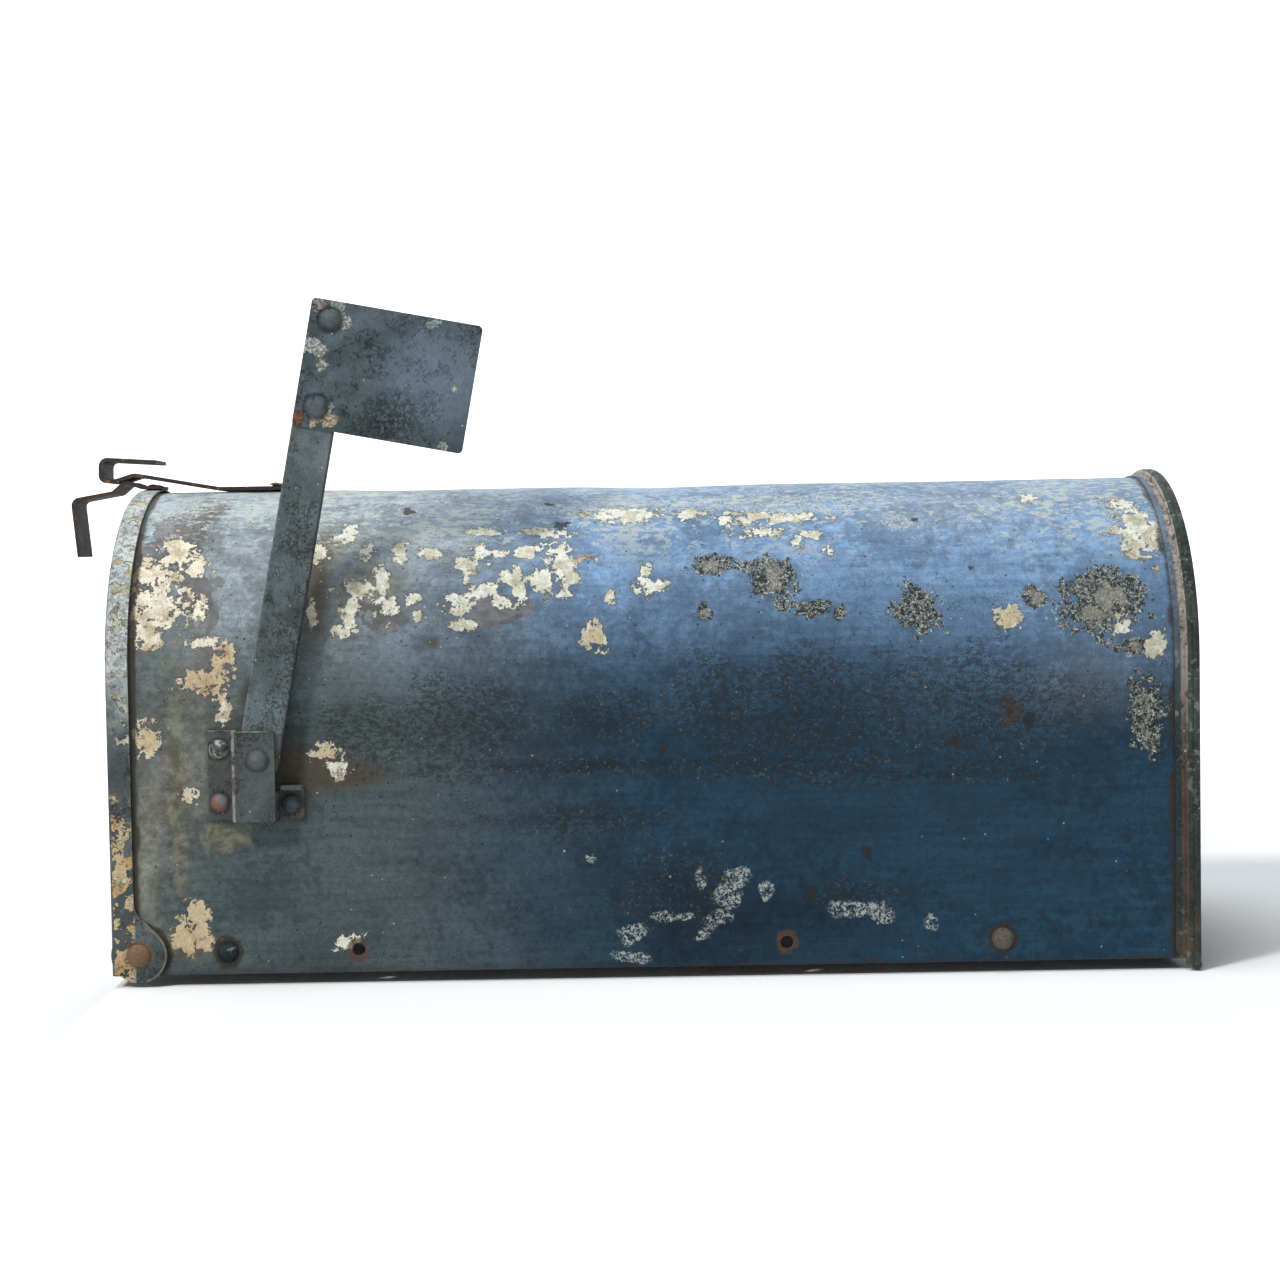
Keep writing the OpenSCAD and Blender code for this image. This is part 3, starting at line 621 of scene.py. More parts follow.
# -------- the shell's paint, layer by layer
def flaked_paint():
    """Old slate-blue paint over a cream coat, for the shell."""
    g = Graph("flaked_paint")
    g.ragged, g.fine = g.noise(330, 5, 0.65), g.noise(1500, 2, 0.7)
    g.broad, g.lumpy = g.field("drift"), g.noise(120, 4, 0.62, warp=0.4)
    g.small, g.large = g.chips(150, 520), g.chips(70, 210)
    g.speckled = g.noise(640, 4, 0.85, warp=0.7)
    g.crest = g.step(g.axis(2), SPRING_Z + 0.035, SHELL_HI.z - 0.012)
    colour = stains(g, fade_and_sheen_coat(g))
    colour, mauve = worn_places(g, colour)
    colour, lichen = crusts(g, colour)
    colour, bare, cream = chipped(g, colour)
    colour = rust_grime_and_shade(g, cracks_and_pits(g, colour))
    crusty = g.most(g.step(g.field("lichen"), -0.1, 0.3), g.step(g.field("grain"), -0.1, 1.0))
    height = g.sum(g.times(g.step(bare, 5.06, 5.13), -0.9), (g.times(crusty, g.fine), 2.2),
                   (g.ragged, 1.6), (g.fine, 0.4))
    dull = g.most(g.most(cream, lichen), mauve)
    rough = g.blend(dull, g.line(g.ragged, 0.4, 0.36), 0.85)
    return g.finish(colour, rough, g.bump(height, 0.00040), specular=0.14)


def fade_and_sheen_coat(g):
    """The old coat: its colour, with fade, painted sheen and painted shade in it, comes with the mesh, and
    is streaked and mottled here.
    """
    streak = g.noise(1.0, 4, 0.65, at=g.stretch(30, 90, 420))
    haze = g.zone(g.lumpy, 1.00, 1.25, broad=1.0, ragged=0.4)
    lift = g.line(streak, 0.9, 0.55)
    for noise, slope, start in ((g.fine, 0.9, 0.55), (g.ragged, 1.1, 0.45), (haze, 0.35, 0.92)):
        lift = g.times(lift, g.line(noise, slope, start))
    return g.scale(g.field("tone", "Color"), lift)


def stains(g, colour):
    """Olive and brown stains, then dark grain with pale crumbs along the sides."""
    olive = g.zone("olive", 1.30, 2.0, broad=1.1, ragged=1.3, lumpy=0.6)
    tint = g.mix(g.step(g.lumpy, 0.4, 0.6), (0.10, 0.09, 0.06), (0.24, 0.225, 0.15))
    colour = g.cover(0.62, olive, colour, tint)
    stain = g.zone("stain", 0.75, 1.5, broad=1.0, ragged=0.8)
    colour = g.cover(0.75, stain, colour, (0.070, 0.048, 0.028))
    grain = g.zone("grain", 2.0, 2.5, broad=1.6, ragged=1.4, lumpy=1.4)
    peel = g.step(g.noise(1.0, 4, 0.78, at=g.stretch(380, 520, 620)), 0.47, 0.54)
    colour = g.cover(0.62, g.times(grain, peel), colour, (0.014, 0.016, 0.014))
    crumb = g.times(g.step(g.speckled, 0.60, 0.66), grain)
    return g.cover(0.75, crumb, colour, (0.20, 0.20, 0.15))


def worn_places(g, colour):
    """Mauve primer showing through, pale flecks along the crest, and scuffed pale patches."""
    mauve = g.zone("primer", 1.72, 1.76, large=2.4, small=1.0)
    tint = g.mix(g.step(g.large, 0.42, 0.58), (0.10, 0.092, 0.088), (0.19, 0.175, 0.175))
    colour = g.cover(0.75, mauve, colour, g.scale(tint, g.line(g.ragged, 1.2, 0.4)))
    fleck = g.noise(1.0, 4, 0.75, at=g.stretch(190, 330, 330))
    flecks = g.times(g.zone(fleck, 0.712, 0.750, broad=0.35), g.crest)
    colour = g.cover(0.75, flecks, colour, g.mix(g.lumpy, (0.40, 0.46, 0.47), (0.62, 0.62, 0.52)))
    pale = g.zone("pale", 0.85, 1.2, lumpy=1.5, broad=0.6)
    pale = g.times(pale, g.step(g.speckled, 0.49, 0.56))
    return g.cover(0.85, pale, colour, g.mix(g.fine, (0.32, 0.35, 0.32), (0.66, 0.69, 0.64))), mauve


def crusts(g, colour):
    """Speckled crusts, brown in the thick of them, and small dark spots."""
    lichen = g.zone("lichen", 2.34, 2.44, lumpy=2.2, ragged=1.8, small=0.6)
    crust = g.mix(g.step(g.fine, 0.42, 0.62), (0.12, 0.13, 0.115), (0.66, 0.69, 0.62))
    crust = g.mix(g.step(g.speckled, 0.48, 0.56), (0.024, 0.026, 0.022), crust)
    heart = g.step(g.sum(g.lumpy, (g.field("lichen"), 0.30)), 0.66, 0.74)
    crust = g.cover(0.6, heart, crust, g.scale((0.37, 0.345, 0.285), g.line(g.fine, 1.4, 0.3)))
    colour = g.cover(0.94, lichen, colour, crust)
    dark = g.zone("dark", 1.72, 1.80, ragged=2.0, small=1.0)
    return g.cover(0.85, dark, colour, (0.02, 0.021, 0.02)), lichen


def chipped(g, colour):
    """Places where the paint has come off down to the primer, with a painted shadow along their edge."""
    bare = g.sum(g.field("cream"), (g.ragged, 3.6), (g.lumpy, 2.4), (g.small, 2.6), (g.large, 1.6))
    under = g.step(bare, 4.55, 5.02)
    colour = g.cover(0.5, under, colour, g.mix(g.lumpy, (0.045, 0.042, 0.04), (0.15, 0.15, 0.15)))
    # painted shadow: a dark line along the edge of each chip
    edge = g.times(g.step(bare, 4.93, 5.07), g.step(bare, 5.24, 5.12))
    colour = g.cover(0.85, edge, colour, (0.040, 0.033, 0.026))
    islands = g.zone(g.speckled, 0.93, 0.96, small=0.6)
    cream = g.times(g.step(bare, 5.080, 5.105), g.calc("SUBTRACT", 1.0, islands))
    return g.mix(cream, colour, shell_primer(g)), bare, cream


def shell_primer(g):
    """The coat under the paint: cream by the door, whiter further back, orange and tan in places."""
    by_door = g.step(g.axis(0), -0.13, -0.18)
    primer = g.mix(g.zone(g.lumpy, 0.68, 0.92, large=0.5),
                   g.mix(by_door, WHITE_LIGHT, CREAM_LIGHT), g.mix(by_door, WHITE_DEEP, CREAM_DEEP))
    primer = g.scale(primer, g.line(g.calc("ADD", g.fine, g.ragged), 0.9, 0.1))
    primer = g.cover(0.7, g.zone(g.ragged, 1.00, 1.05, large=0.6), primer, ORANGE)
    tan = g.grained(g.mix(g.step(g.lumpy, 0.36, 0.58), TAWNY, OATMEAL), g.fine)
    return g.cover(0.8, g.step(g.field("tan"), -0.2, 0.4), primer, tan)


def cracks_and_pits(g, colour):
    """Hair cracks, paler along the crest, then dark pits and pale specks."""
    bent = g.vec("ADD", g.place, g.scale(g.noise_colour(180), 0.005))
    cracks = g.cells(230, "DISTANCE_TO_EDGE", at=bent).outputs["Distance"]
    hair = g.times(g.step(cracks, 0.030, 0.012), g.zone(g.lumpy, 0.95, 1.08, broad=0.8))
    colour = g.cover(0.5, hair, colour, (0.02, 0.02, 0.02))
    worn_hair = g.times(g.step(cracks, 0.045, 0.015), g.step(g.broad, 0.58, 0.66))
    colour = g.cover(0.35, g.times(worn_hair, g.crest), colour, (0.50, 0.56, 0.60))
    colour = g.cover(0.75, g.dots(290, 0.17, 0.20), colour, BLACK)
    specks = g.most(g.dots(150, 0.10, 0.030), g.dots(430, 0.20, 0.02))
    return g.cover(0.7, specks, colour, (0.44, 0.47, 0.45))


def rust_grime_and_shade(g, colour):
    rusty = g.zone("rust", 0.65, 1.1, ragged=0.9)
    colour = g.cover(0.8, rusty, colour, g.mix(g.lumpy, (0.030, 0.022, 0.016), (0.15, 0.075, 0.045)))
    # painted shade in the corners and round the rivets, and a dark worn line along the bottom edge
    grime = g.zone("grime", 0.75, 1.35, ragged=0.8, lumpy=0.3)
    return g.cover(0.85, grime, colour, g.mix(g.lumpy, (0.012, 0.010, 0.008), (0.055, 0.038, 0.022)))


# -------- the other finishes
def bare_inside():
    """Dull zinc sheet, gone brown in places, for the inside of the box."""
    g = Graph("bare_inside")
    patch = g.noise(30, 6, 0.6)
    spangle = g.vec("DOT_PRODUCT", g.cells(90).outputs["Color"], (0.34, 0.33, 0.33))
    zinc = g.scale((0.21, 0.22, 0.22), g.line(spangle, 0.5, 0.75))
    colour = g.mix(g.step(patch, 0.48, 0.66), zinc, (0.16, 0.085, 0.045))
    colour = g.mix(g.step(g.noise(260, 4, 0.7), 0.6, 0.7), colour, (0.09, 0.05, 0.03))
    normal = g.bump(g.noise(500, 4, 0.6), 0.0002)
    return g.finish(colour, g.line(patch, 0.4, 0.4), normal)


def coat(g, base, other, seed, grit):
    """Plain old paint with gritty zones; sets the noises that the layers over it share."""
    g.at = at = g.vec("ADD", g.place, (seed, seed * 0.7, seed * 1.3))
    g.ragged, g.fine = g.noise(330, 6, 0.65, at=at), g.noise(1300, 3, 0.7, at=at)
    g.broad, g.lumpy = g.noise(34, 3, 0.62, at=at), g.noise(140, 4, 0.65, at=at, warp=0.3)
    g.small, g.large = g.chips(150, 520, at), g.chips(70, 210, at)
    colour = g.mix(g.zone(g.broad, 0.60, 0.90, lumpy=0.5), base, other)
    colour = g.scale(colour, g.line(g.fine, 1.0, 0.5))
    colour = g.scale(colour, g.line(g.ragged, 1.2, 0.4))
    lumps = g.step(g.noise(620, 5, 0.75, at=at, warp=0.5), 0.50, 0.58)
    zone = g.zone(g.noise(48, 5, 0.65, at=at), 0.72, 0.86, ragged=0.5)
    gritty = g.times(lumps, zone)
    colour = g.cover(grit, gritty, colour, (0.014, 0.018, 0.016))
    crumbs = g.times(g.step(g.noise(900, 4, 0.8, at=at), 0.58, 0.63), zone)
    colour = g.cover(grit * 0.5, crumbs, colour, (0.13, 0.135, 0.10))
    height = g.sum(g.times(gritty, -0.9), (crumbs, 0.9), (g.ragged, 1.3))
    return colour, height


def flakes(g, colour, height, level, where, light, deep):
    """Chips down to the coat below, where the level plus noise is high."""
    bare = g.sum(level, (g.ragged, 1.1), (g.lumpy, 1.3), (g.small, 1.0), (g.large, 1.2))
    mask = g.times(g.step(bare, 2.62, 2.64), where)
    edge = g.times(g.times(g.step(bare, 2.50, 2.61), g.step(bare, 2.74, 2.65)), where)
    primer = g.mix(g.step(g.noise(120, 5, 0.65, at=g.at), 0.42, 0.62), light, deep)
    primer = g.scale(primer, g.line(g.calc("ADD", g.fine, g.ragged), 0.7, 0.3))
    # painted shadow: a dark line along the edge of each chip
    colour = g.cover(0.8, edge, colour, (0.035, 0.030, 0.024))
    return g.mix(mask, colour, primer), g.sum(height, (mask, -0.8))


def last_marks(g, colour, height, distance=0.00036):
    """Pits, specks and the surface of an old painted part."""
    specks = g.most(g.dots(170, 0.12, 0.06), g.dots(520, 0.2, 0.02))
    pits = g.dots(300, 0.17, 0.22)
    colour = g.cover(0.7, pits, colour, BLACK)
    colour = g.mix(specks, colour, (0.5, 0.54, 0.5))
    rough = g.line(g.noise(300, 4, 0.6), 0.5, 0.33)
    return g.finish(colour, rough, g.bump(g.sum(height, (pits, -0.8)), distance), specular=0.16)


def spot(g, colour, height, centre, radius, tint):
    """One crusty spot with a ragged edge."""
    away = g.vec("LENGTH", g.scale(g.vec("SUBTRACT", g.place, centre), 1 / radius))
    inside = g.zone(away, -2.74, -2.84, ragged=-3.2, small=-2.4, lumpy=-1.8)
    crumbs = g.step(g.noise(900, 5, 0.8, at=g.at), 0.43, 0.50)
    grains = g.mix(crumbs, g.scale(tint, 0.42), g.scale(tint, g.line(g.fine, 0.9, 0.5)))
    colour = g.cover(0.94, inside, colour, grains)
    return colour, g.sum(height, (g.times(inside, crumbs), 1.2))


def door_paint():
    """Slate paint, paler and chalky round the top of the flange partly as a painted sheen, and flaked off
    low down.
    """
    g = Graph("door_paint")
    colour, height = coat(g, (0.060, 0.075, 0.080), (0.115, 0.135, 0.140), 0.31, 0.6)
    face_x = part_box("door")[0].x
    side = g.past((1, 0, 0), face_x + 0.0018, 0.0008)
    # lighter towards the top: chalked paint with a painted sheen
    high = g.zone(g.axis(2), 0.150, 0.205, broad=0.10, ragged=0.02)
    high = g.times(high, g.blend(side, 0.55, 1.0))
    patches = g.zone(g.lumpy, 0.88, 1.10, ragged=0.8, small=0.4)
    colour = g.cover(0.75, high, colour, g.mix(g.broad, (0.20, 0.26, 0.31), (0.34, 0.38, 0.39)))
    chalk_and_sheen = g.mix(g.broad, (0.48, 0.53, 0.55), (0.66, 0.66, 0.60))
    colour = g.cover(0.9, g.times(high, patches), colour, chalk_and_sheen)
    rings = g.cells(240, "DISTANCE_TO_EDGE", at=g.at).outputs["Distance"]
    crack = g.times(g.step(rings, 0.035, 0.015), high)
    colour = g.cover(0.5, crack, colour, (0.07, 0.07, 0.06))
    flange = g.past((-1, 0, 0), -HINGE.x + 0.0019, 0.0006)
    low = g.step(g.axis(2), 0.085, 0.025)
    colour, height = flakes(g, colour, height, g.times(low, g.blend(side, 0.08, 0.36)), flange,
                            (0.52, 0.41, 0.25), OCHRE)
    upper = g.step(g.axis(2), 0.065, 0.095)
    colour, height = flakes(g, colour, height, g.times(upper, g.blend(side, 0.02, 0.16)), flange,
                            (0.52, 0.52, 0.42), (0.34, 0.30, 0.19))
    edge = g.past((1, 0, 0), face_x + FLANGE_DEPTH + 0.0001, 0.0007)
    worn = g.times(g.times(edge, flange), g.step(g.lumpy, 0.42, 0.55))
    colour = g.cover(0.6, worn, colour, (0.30, 0.30, 0.26))
    hinge = g.off_axis(HINGE)
    ring = g.zone(hinge, 0.0092, 0.0072, ragged=0.004)
    colour = g.cover(0.8, ring, colour, g.mix(g.lumpy, BROWN, (0.26, 0.14, 0.06)))
    lip = g.times(g.step(hinge, 0.0113, 0.0117), g.past((1, 0, 0), HINGE.x + 0.003, 0.001))
    colour = g.cover(0.55, lip, colour, (0.24, 0.24, 0.17))
    return last_marks(g, colour, height)


def rim_paint():
    """Green-black paint on the rolled rim, a worn pale strip on its lip, and slate on the dished face."""
    g = Graph("rear_paint")
    colour, height = coat(g, (0.022, 0.030, 0.027), (0.050, 0.062, 0.056), 1.7, 0.6)
    lip_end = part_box("rear_panel")[1].x - RIM_WIDTH
    over_arch = g.most(g.calc("SUBTRACT", g.axis(2), SPRING_Z), 0.0)
    out = g.calc("SQRT", g.line(g.axis(1), g.axis(1), g.times(over_arch, over_arch)))
    face = g.step(out, WALL_R - 0.0008, WALL_R - 0.0016)
    patchy = g.zone(g.broad, 0.60, 0.90, lumpy=0.5)
    plain = g.mix(patchy, (0.030, 0.046, 0.060), (0.075, 0.095, 0.108))
    plain = g.grained(plain, g.ragged)
    colour = g.cover(0.85, face, colour, plain)
    colour, height = flakes(g, colour, height, 0.10, face, (0.60, 0.56, 0.45), OCHRE)
    lip = g.times(g.past((-1, 0, 0), -lip_end, 0.0002), g.step(out, WALL_R - 0.0008, WALL_R - 0.0002))
    # lighter up high, like the shell's paint: partly painted sheen
    shell_like = g.mix(g.step(g.axis(2), 0.08, 0.17), (0.030, 0.042, 0.048), (0.15, 0.20, 0.26))
    colour = g.cover(0.9, lip, colour, g.grained(shell_like, g.ragged))
    strip = g.times(lip, g.past((1, 0, 0), lip_end - 0.0018, 0.0009))
    colour = g.cover(0.8, strip, colour, g.mix(g.lumpy, (0.06, 0.042, 0.028), (0.15, 0.11, 0.075)))
    high = g.zone(g.axis(2), 0.09, 0.17, broad=0.05)
    pale = g.times(g.times(strip, high), g.zone(g.lumpy, 0.62, 0.80, ragged=0.6))
    colour = g.cover(0.9, pale, colour, g.grained((0.44, 0.39, 0.34), g.fine))
    worn = g.times(g.zone(g.ragged, 0.88, 0.92, small=0.6), g.step(g.broad, 0.45, 0.55))
    colour = g.cover(0.6, worn, colour, (0.24, 0.25, 0.20))
    foot = g.zone(g.axis(2), 0.04, -0.01, broad=0.03)
    colour = g.cover(0.7, g.times(foot, g.step(g.lumpy, 0.42, 0.6)), colour, (0.10, 0.06, 0.035))
    return last_marks(g, colour, height)


def flag_axes():
    """Unit vectors up the flag arm and across it."""
    along = (middle("flag_rivet_upper") - middle("flag_rivet_lower")).normalized()
    return along, Vector((along.z, 0, -along.x))


def on_flag(across, up):
    """A place on the flag plate's face: across from the arm's middle line and up from the pivot, in mm."""
    along, side = flag_axes()
    place = PIVOT + along * up * MM + side * across * MM
    return (place.x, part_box("flag_plate")[0].y, place.z)


def flag_paint():
    """Blue-grey paint with gritty lumps and crusty spots, and painted shade round the rivets, for the flag
    plate.
    """
    g = Graph("flag_paint")
    colour, height = coat(g, (0.048, 0.066, 0.072), (0.092, 0.120, 0.138), 2.9, 0.9)
    bluish = g.zone(g.distance(on_flag(48, 178)), 0.042, 0.018, broad=0.02)
    colour = g.cover(0.75, bluish, colour, g.grained((0.14, 0.19, 0.24), g.ragged))
    rough = g.zone(g.distance(on_flag(32, 155)), 0.046, 0.030, broad=0.04, ragged=0.02)
    lumps = g.times(g.step(g.noise(560, 5, 0.7, at=g.at, warp=0.5), 0.48, 0.55), rough)
    colour = g.cover(0.75, lumps, colour, (0.022, 0.028, 0.022))
    height = g.sum(height, (lumps, -1.6))
    for across, up, radius, tint in FLAG_SPOTS:
        colour, height = spot(g, colour, height, on_flag(across, up), radius * MM, tint)
    # painted shade: a dark ring round each rivet
    for node in ("flag_rivet_upper", "flag_rivet_lower"):
        ring = g.zone(g.distance(middle(node)), 0.0080, 0.0064, ragged=0.002)
        colour = g.cover(0.7, ring, colour, (0.016, 0.018, 0.017))
    return last_marks(g, colour, height, 0.00045)


def arm_paint():
    """Grey-green paint on the arm, pale along its front edge from wear with a painted highlight, and with
    painted shade along its rear edge.
    """
    g = Graph("arm_paint")
    colour, height = coat(g, (0.082, 0.102, 0.108), (0.130, 0.160, 0.171), 4.4, 0.6)
    side = flag_axes()[1]
    # front edge: wear with a painted highlight
    front = g.past(-side, -side.dot(PIVOT) + ARM_HALF, 0.0010)
    colour = g.cover(0.55, g.times(front, g.step(g.lumpy, 0.35, 0.5)), colour, (0.26, 0.27, 0.25))
    # painted shade along the rear edge
    rear = g.past(side, side.dot(PIVOT) + ARM_HALF, 0.0014)
    colour = g.cover(0.85, rear, colour, (0.012, 0.012, 0.011))
    foot = g.zone(g.axis(2), PIVOT.z + 0.030, PIVOT.z + 0.012, broad=0.02)
    stain = g.times(foot, g.zone(g.lumpy, 0.62, 0.85, ragged=0.5))
    colour = g.cover(0.7, stain, colour, (0.105, 0.075, 0.048))
    middle_band = g.step(g.calc("ABSOLUTE", g.calc("SUBTRACT", g.axis(2), PIVOT.z + 0.060)), 0.022, 0.006)
    dirt = g.times(middle_band, g.step(g.lumpy, 0.42, 0.58))
    colour = g.cover(0.6, dirt, colour, (0.025, 0.023, 0.020))
    return last_marks(g, colour, height)


def bracket_paint():
    """Dark paint, pale along the bracket's folds and top edge as worn metal with a painted highlight, rusty
    where it meets the shell, and with painted shade round the rivets.
    """
    g = Graph("bracket_paint")
    colour, height = coat(g, (0.053, 0.062, 0.063), (0.085, 0.096, 0.098), 5.3, 0.5)
    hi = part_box("flag_bracket")[1]
    # pale fold and top edge: worn metal with a painted highlight
    fold = g.calc("ABSOLUTE", g.calc("SUBTRACT", g.axis(0), PIVOT.x - PANEL_HALF))
    keep = g.step(g.lumpy, 0.36, 0.50)
    fold = g.times(g.step(fold, 0.0009, 0.0005), keep)
    top = g.times(g.past((0, 0, 1), hi.z - 0.0001, 0.0005), keep)
    colour = g.cover(0.7, g.most(fold, top), colour, (0.34, 0.33, 0.29))
    near = g.past((0, 1, 0), hi.y, 0.0028)
    rusty = g.times(near, g.zone(g.lumpy, 0.70, 0.90, ragged=0.6))
    colour = g.cover(0.7, rusty, colour, (0.12, 0.075, 0.045))
    tab = g.times(g.past((1, 0, 0), PIVOT.x + 0.0095, 0.002), near)
    colour = g.cover(0.75, tab, colour, g.mix(g.lumpy, (0.035, 0.024, 0.016), (0.14, 0.09, 0.055)))
    # painted shade: a dark ring round each rivet
    for node in ("flag_pivot_rivet", "bracket_rivet_upper", "bracket_rivet_lower", "bracket_rivet_tab"):
        ring = g.step(g.sum(g.off_axis(middle(node)), (g.ragged, 0.002)), 0.0072, 0.0058)
        colour = g.cover(0.5, ring, colour, (0.014, 0.014, 0.013))
    return last_marks(g, colour, height)


def rivet_paint(name, base, other, patch=None, cover=0.0, edge=None):
    """Paint on a rivet's head. A patch of another colour shows more as cover grows; with an edge, which
    is a direction, it lies on that side of the lower bracket rivet instead."""
    g = Graph(name)
    colour, height = coat(g, base, other, 7.7, 0.4)
    if patch:
        if edge:
            reach = g.sum(g.vec("DOT_PRODUCT", g.place, edge), (g.ragged, 0.006))
            start = Vector(edge).dot(middle("bracket_rivet_lower")) + 0.0022
            mask = g.step(reach, start - 0.001, start + 0.002)
        else:
            mask = g.zone(g.lumpy, 0.98 - cover, 1.06 - cover, ragged=0.5)
        colour = g.cover(0.9, mask, colour, g.grained(patch, g.fine))
    # painted shade: darker towards the foot of the dome, where its surface slopes
    facing = g.vec("DOT_PRODUCT", g.add("ShaderNodeNewGeometry").outputs["Normal"], (0, 1, 0))
    unshaded = g.step(g.calc("ABSOLUTE", facing), 0.45, 0.97)
    colour = g.scale(colour, g.line(unshaded, 0.62, 0.40))
    return last_marks(g, colour, height, 0.0003)


def rusted(name, base, rust_colour, cover):
    """Dark steel under a skin of rust, for the straps and hinge rivets."""
    g = Graph(name)
    patch = g.noise(85, 6, 0.65)
    grit = g.noise(900, 4, 0.7)
    colour = g.mix(g.step(patch, 0.62 - cover * 0.3, 0.78 - cover * 0.3), base, rust_colour)
    colour = g.mix(g.step(grit, 0.5, 0.75), colour, BROWN)
    colour = g.mix(g.step(g.noise(300, 4, 0.6), 0.60, 0.70), colour, (0.30, 0.13, 0.05))
    normal = g.bump(g.calc("ADD", grit, patch), 0.0003)
    return g.finish(colour, g.line(patch, 0.3, 0.5), normal)


# -------- finishes and edges
def dress(node, material, bevel=0.0):
    """Gives a CAD piece its finish and, where a bevel width is given, worn edges."""
    piece = frame["nodes"][node]
    piece.data.materials.clear()
    piece.data.materials.append(material)
    if bevel:
        b = piece.modifiers.new("worn_edges", "BEVEL")
        b.width, b.segments, b.limit_method = bevel, 2, "ANGLE"
        b.angle_limit = math.radians(40)
        b.harden_normals = True


def dress_all():
    """Finishes for every CAD piece but the shell."""
    strap = rusted("rusted_strap", (0.020, 0.016, 0.014), (0.10, 0.050, 0.028), 0.35)
    hinge = rusted("rusted_rivet", (0.090, 0.060, 0.042), (0.175, 0.100, 0.058), 0.9)
    slate = (0.070, 0.080, 0.080), (0.115, 0.125, 0.125)
    blue = rivet_paint("flag_rivet_paint", (0.070, 0.085, 0.098), (0.115, 0.135, 0.150))
    grey = rivet_paint("bracket_rivet_paint", *slate)
    flecked = rivet_paint("flecked_rivet_paint", *slate, (0.50, 0.50, 0.44), 0.34)
    red = rivet_paint("lower_rivet_paint", (0.10, 0.105, 0.105), (0.17, 0.175, 0.17),
                      (0.20, 0.085, 0.066), edge=(-0.8, 0, -0.6))
    black = rivet_paint("front_rivet_paint", (0.012, 0.018, 0.024), (0.030, 0.042, 0.050),
                        (0.20, 0.22, 0.19), 0.18)
    metal = rivet_paint("rear_rivet_paint", (0.075, 0.085, 0.090), (0.13, 0.135, 0.13),
                        (0.14, 0.11, 0.085), 0.26)
    dress("door", door_paint())
    dress("rear_panel", rim_paint())
    dress("floor_pan", bare_inside())
    dress("flag_plate", flag_paint(), 0.0002)
    dress("flag_arm", arm_paint(), 0.0002)
    dress("flag_bracket", bracket_paint(), 0.0002)
    for node in ("door_pull", "catch_strap"):
        dress(node, strap, 0.0003)
    finishes = {"catch_rivet": strap, "pull_rivet": strap, "hinge_rivet": hinge, "bracket_rivet": grey,
                "flag_rivet": blue, "flag_pivot_rivet": grey, "floor_rivet": metal}
    for node in frame["nodes"]:
        for start, finish in finishes.items():
            if node.startswith(start):
                dress(node, finish)
    dress("bracket_rivet_lower", red)
    dress("bracket_rivet_upper", flecked)
    dress("bracket_rivet_tab", blue)
    for side in ("flag", "plain"):
        dress(f"floor_rivet_{side}_side_front", black)


# -------- floor, light and camera
def seen_directly(tree):
    """1 for rays from the camera, in reflections and through glass, else 0."""
    path = new_node(tree, "ShaderNodeLightPath").outputs
    total = path["Is Camera Ray"]
    for kind in ("Is Glossy Ray", "Is Transmission Ray"):
        total = new_node(tree, "ShaderNodeMath", (total, path[kind]), operation="MAXIMUM").outputs[0]
    return total


def white_ground():
    """Pale matt ground whose far part is lifted where it is seen directly, so that it reads as white."""
    g = Graph("floor")
    reach = g.vec("LENGTH", g.stretch(1, 1, 0))
    away = g.add("ShaderNodeMapRange", (reach, 0.42, 1.2, 0.0, 0.8)).outputs[0]
    glow = g.times(seen_directly(g.tree), away)
    for key, value in (("Base Color", (0.93, 0.93, 0.93)), ("Roughness", 0.9), ("Specular IOR Level", 0.1),
                       ("Emission Color", (1, 1, 1)), ("Emission Strength", glow)):
        plug(g.shader.inputs[key], value)
    return g.mat


def make_floor():
    """Pale ground and backdrop; it drops away before the door, so that the open door hangs clear."""
    size, back, high, bend, steps = 4.0, 1.6, 3.0, 0.6, 12
    ground = CAD_BOX[0].z - 0.0004
    profile = [(-size, ground)]
    profile += [(back - bend + bend * math.sin(math.pi / 2 * k / steps),
                 ground + bend - bend * math.cos(math.pi / 2 * k / steps)) for k in range(steps + 1)]
    profile.append((back, ground + high))
    lip, foot, step, drop = SHELL_LO.x - 0.001, HINGE.x - 0.200, 0.016, 0.090
    columns = ((-size, drop), (foot, drop), (lip - 0.004, step), (lip, 0), (size, 0))
    verts = [(x, y, z - fall) for y, z in profile for x, fall in columns]
    n = len(columns)
    faces = [(k * n + i, k * n + i + 1, (k + 1) * n + i + 1, (k + 1) * n + i)
             for k in range(len(profile) - 1) for i in range(n - 1)]
    mesh = bpy.data.meshes.new("floor")
    mesh.from_pydata(verts, [], faces)
    mesh.polygons.foreach_set("use_smooth", [True] * len(mesh.polygons))
    mesh.materials.append(white_ground())
    add_object("floor", mesh)


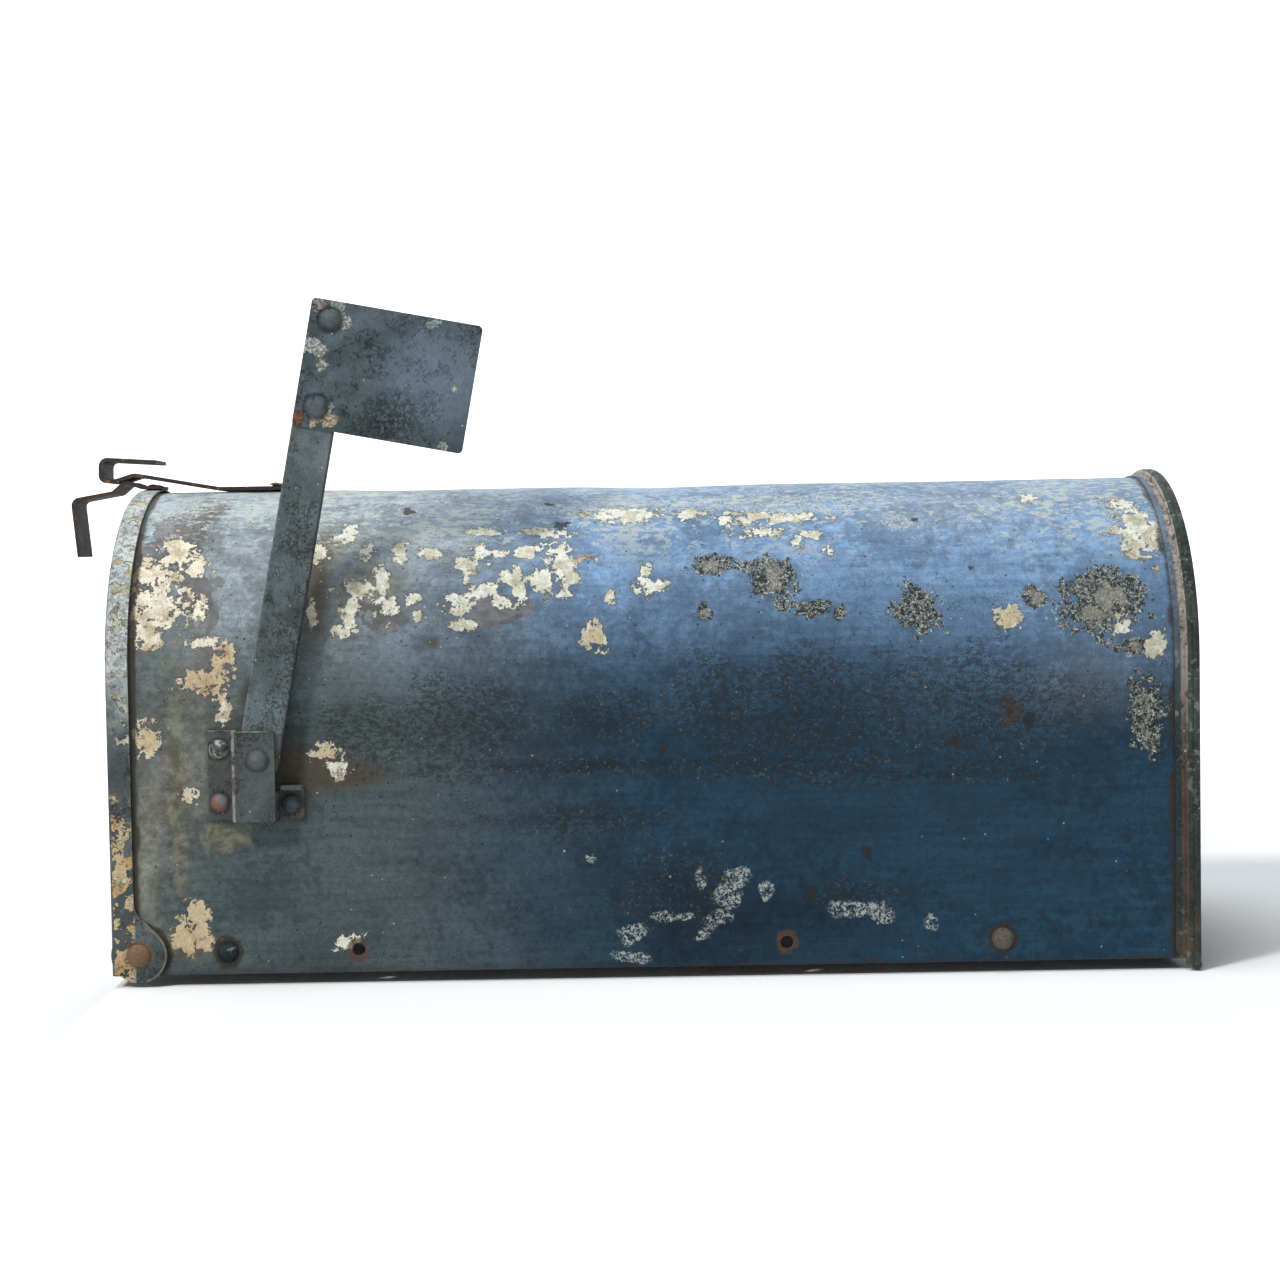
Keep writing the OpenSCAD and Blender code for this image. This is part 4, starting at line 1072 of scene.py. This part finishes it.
def make_camera():
    """The photo's own view, matched from the box's corners, screw holes and rivets."""
    data = bpy.data.cameras.new("camera")
    data.sensor_width, data.lens = 36, 59.12
    cam = add_object("camera", data)
    pitch, yaw, roll = (math.radians(v) for v in (2.445, 0.157, -0.935))
    ahead = Vector((math.sin(yaw) * math.cos(pitch), math.cos(yaw) * math.cos(pitch), -math.sin(pitch)))
    right = Vector((math.cos(yaw), -math.sin(yaw), 0))
    up = right.cross(ahead)
    right, up = (right * math.cos(roll) + up * math.sin(roll),
                 up * math.cos(roll) - right * math.sin(roll))
    turn = Matrix((right, up, -ahead)).transposed()
    cam.matrix_world = Matrix.Translation((-0.00758, -1.00881, 0.16489)) @ turn.to_4x4()
    data.clip_start, data.clip_end = 0.05, 50
    bpy.context.scene.camera = cam


def area_light(name, place, size, power, colour):
    """A round lamp turned to the middle of the box."""
    data = bpy.data.lights.new(name, "AREA")
    data.shape, data.size, data.energy, data.color = "DISK", size, power, colour
    lamp = add_object(name, data)
    lamp.location = place
    lamp.rotation_mode = "QUATERNION"
    lamp.rotation_quaternion = (Vector((0, 0, 0.1)) - Vector(place)).to_track_quat("-Z", "Y")


def make_light():
    """A soft lamp overhead, a smaller one from the front left, and a dim sky that is seen as white."""
    world = bpy.data.worlds.new("studio")
    bpy.context.scene.world = world
    world.use_nodes = True
    tree = world.node_tree
    sky = new_node(tree, "ShaderNodeBackground", ((0.84, 0.92, 1.0), 0.22)).outputs[0]
    white = new_node(tree, "ShaderNodeBackground", ((1, 1, 1), 1.0)).outputs[0]
    both = new_node(tree, "ShaderNodeMixShader", (seen_directly(tree), sky, white))
    plug(tree.nodes["World Output"].inputs["Surface"], both.outputs[0])
    area_light("top", (-0.1, -0.30, 1.8), 1.1, 22, (0.92, 0.97, 1.0))
    area_light("key", (-1.3, -1.35, 1.65), 0.38, 31, (1.0, 0.985, 0.96))


shell_sheet = build_shell()
shell_sheet.data.materials.append(flaked_paint())
shell_sheet.data.materials.append(bare_inside())
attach(shell_sheet, "box")
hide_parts("shell")
dress_all()
make_floor()
make_camera()
make_light()

scene = bpy.context.scene
scene.view_settings.view_transform = "Standard"
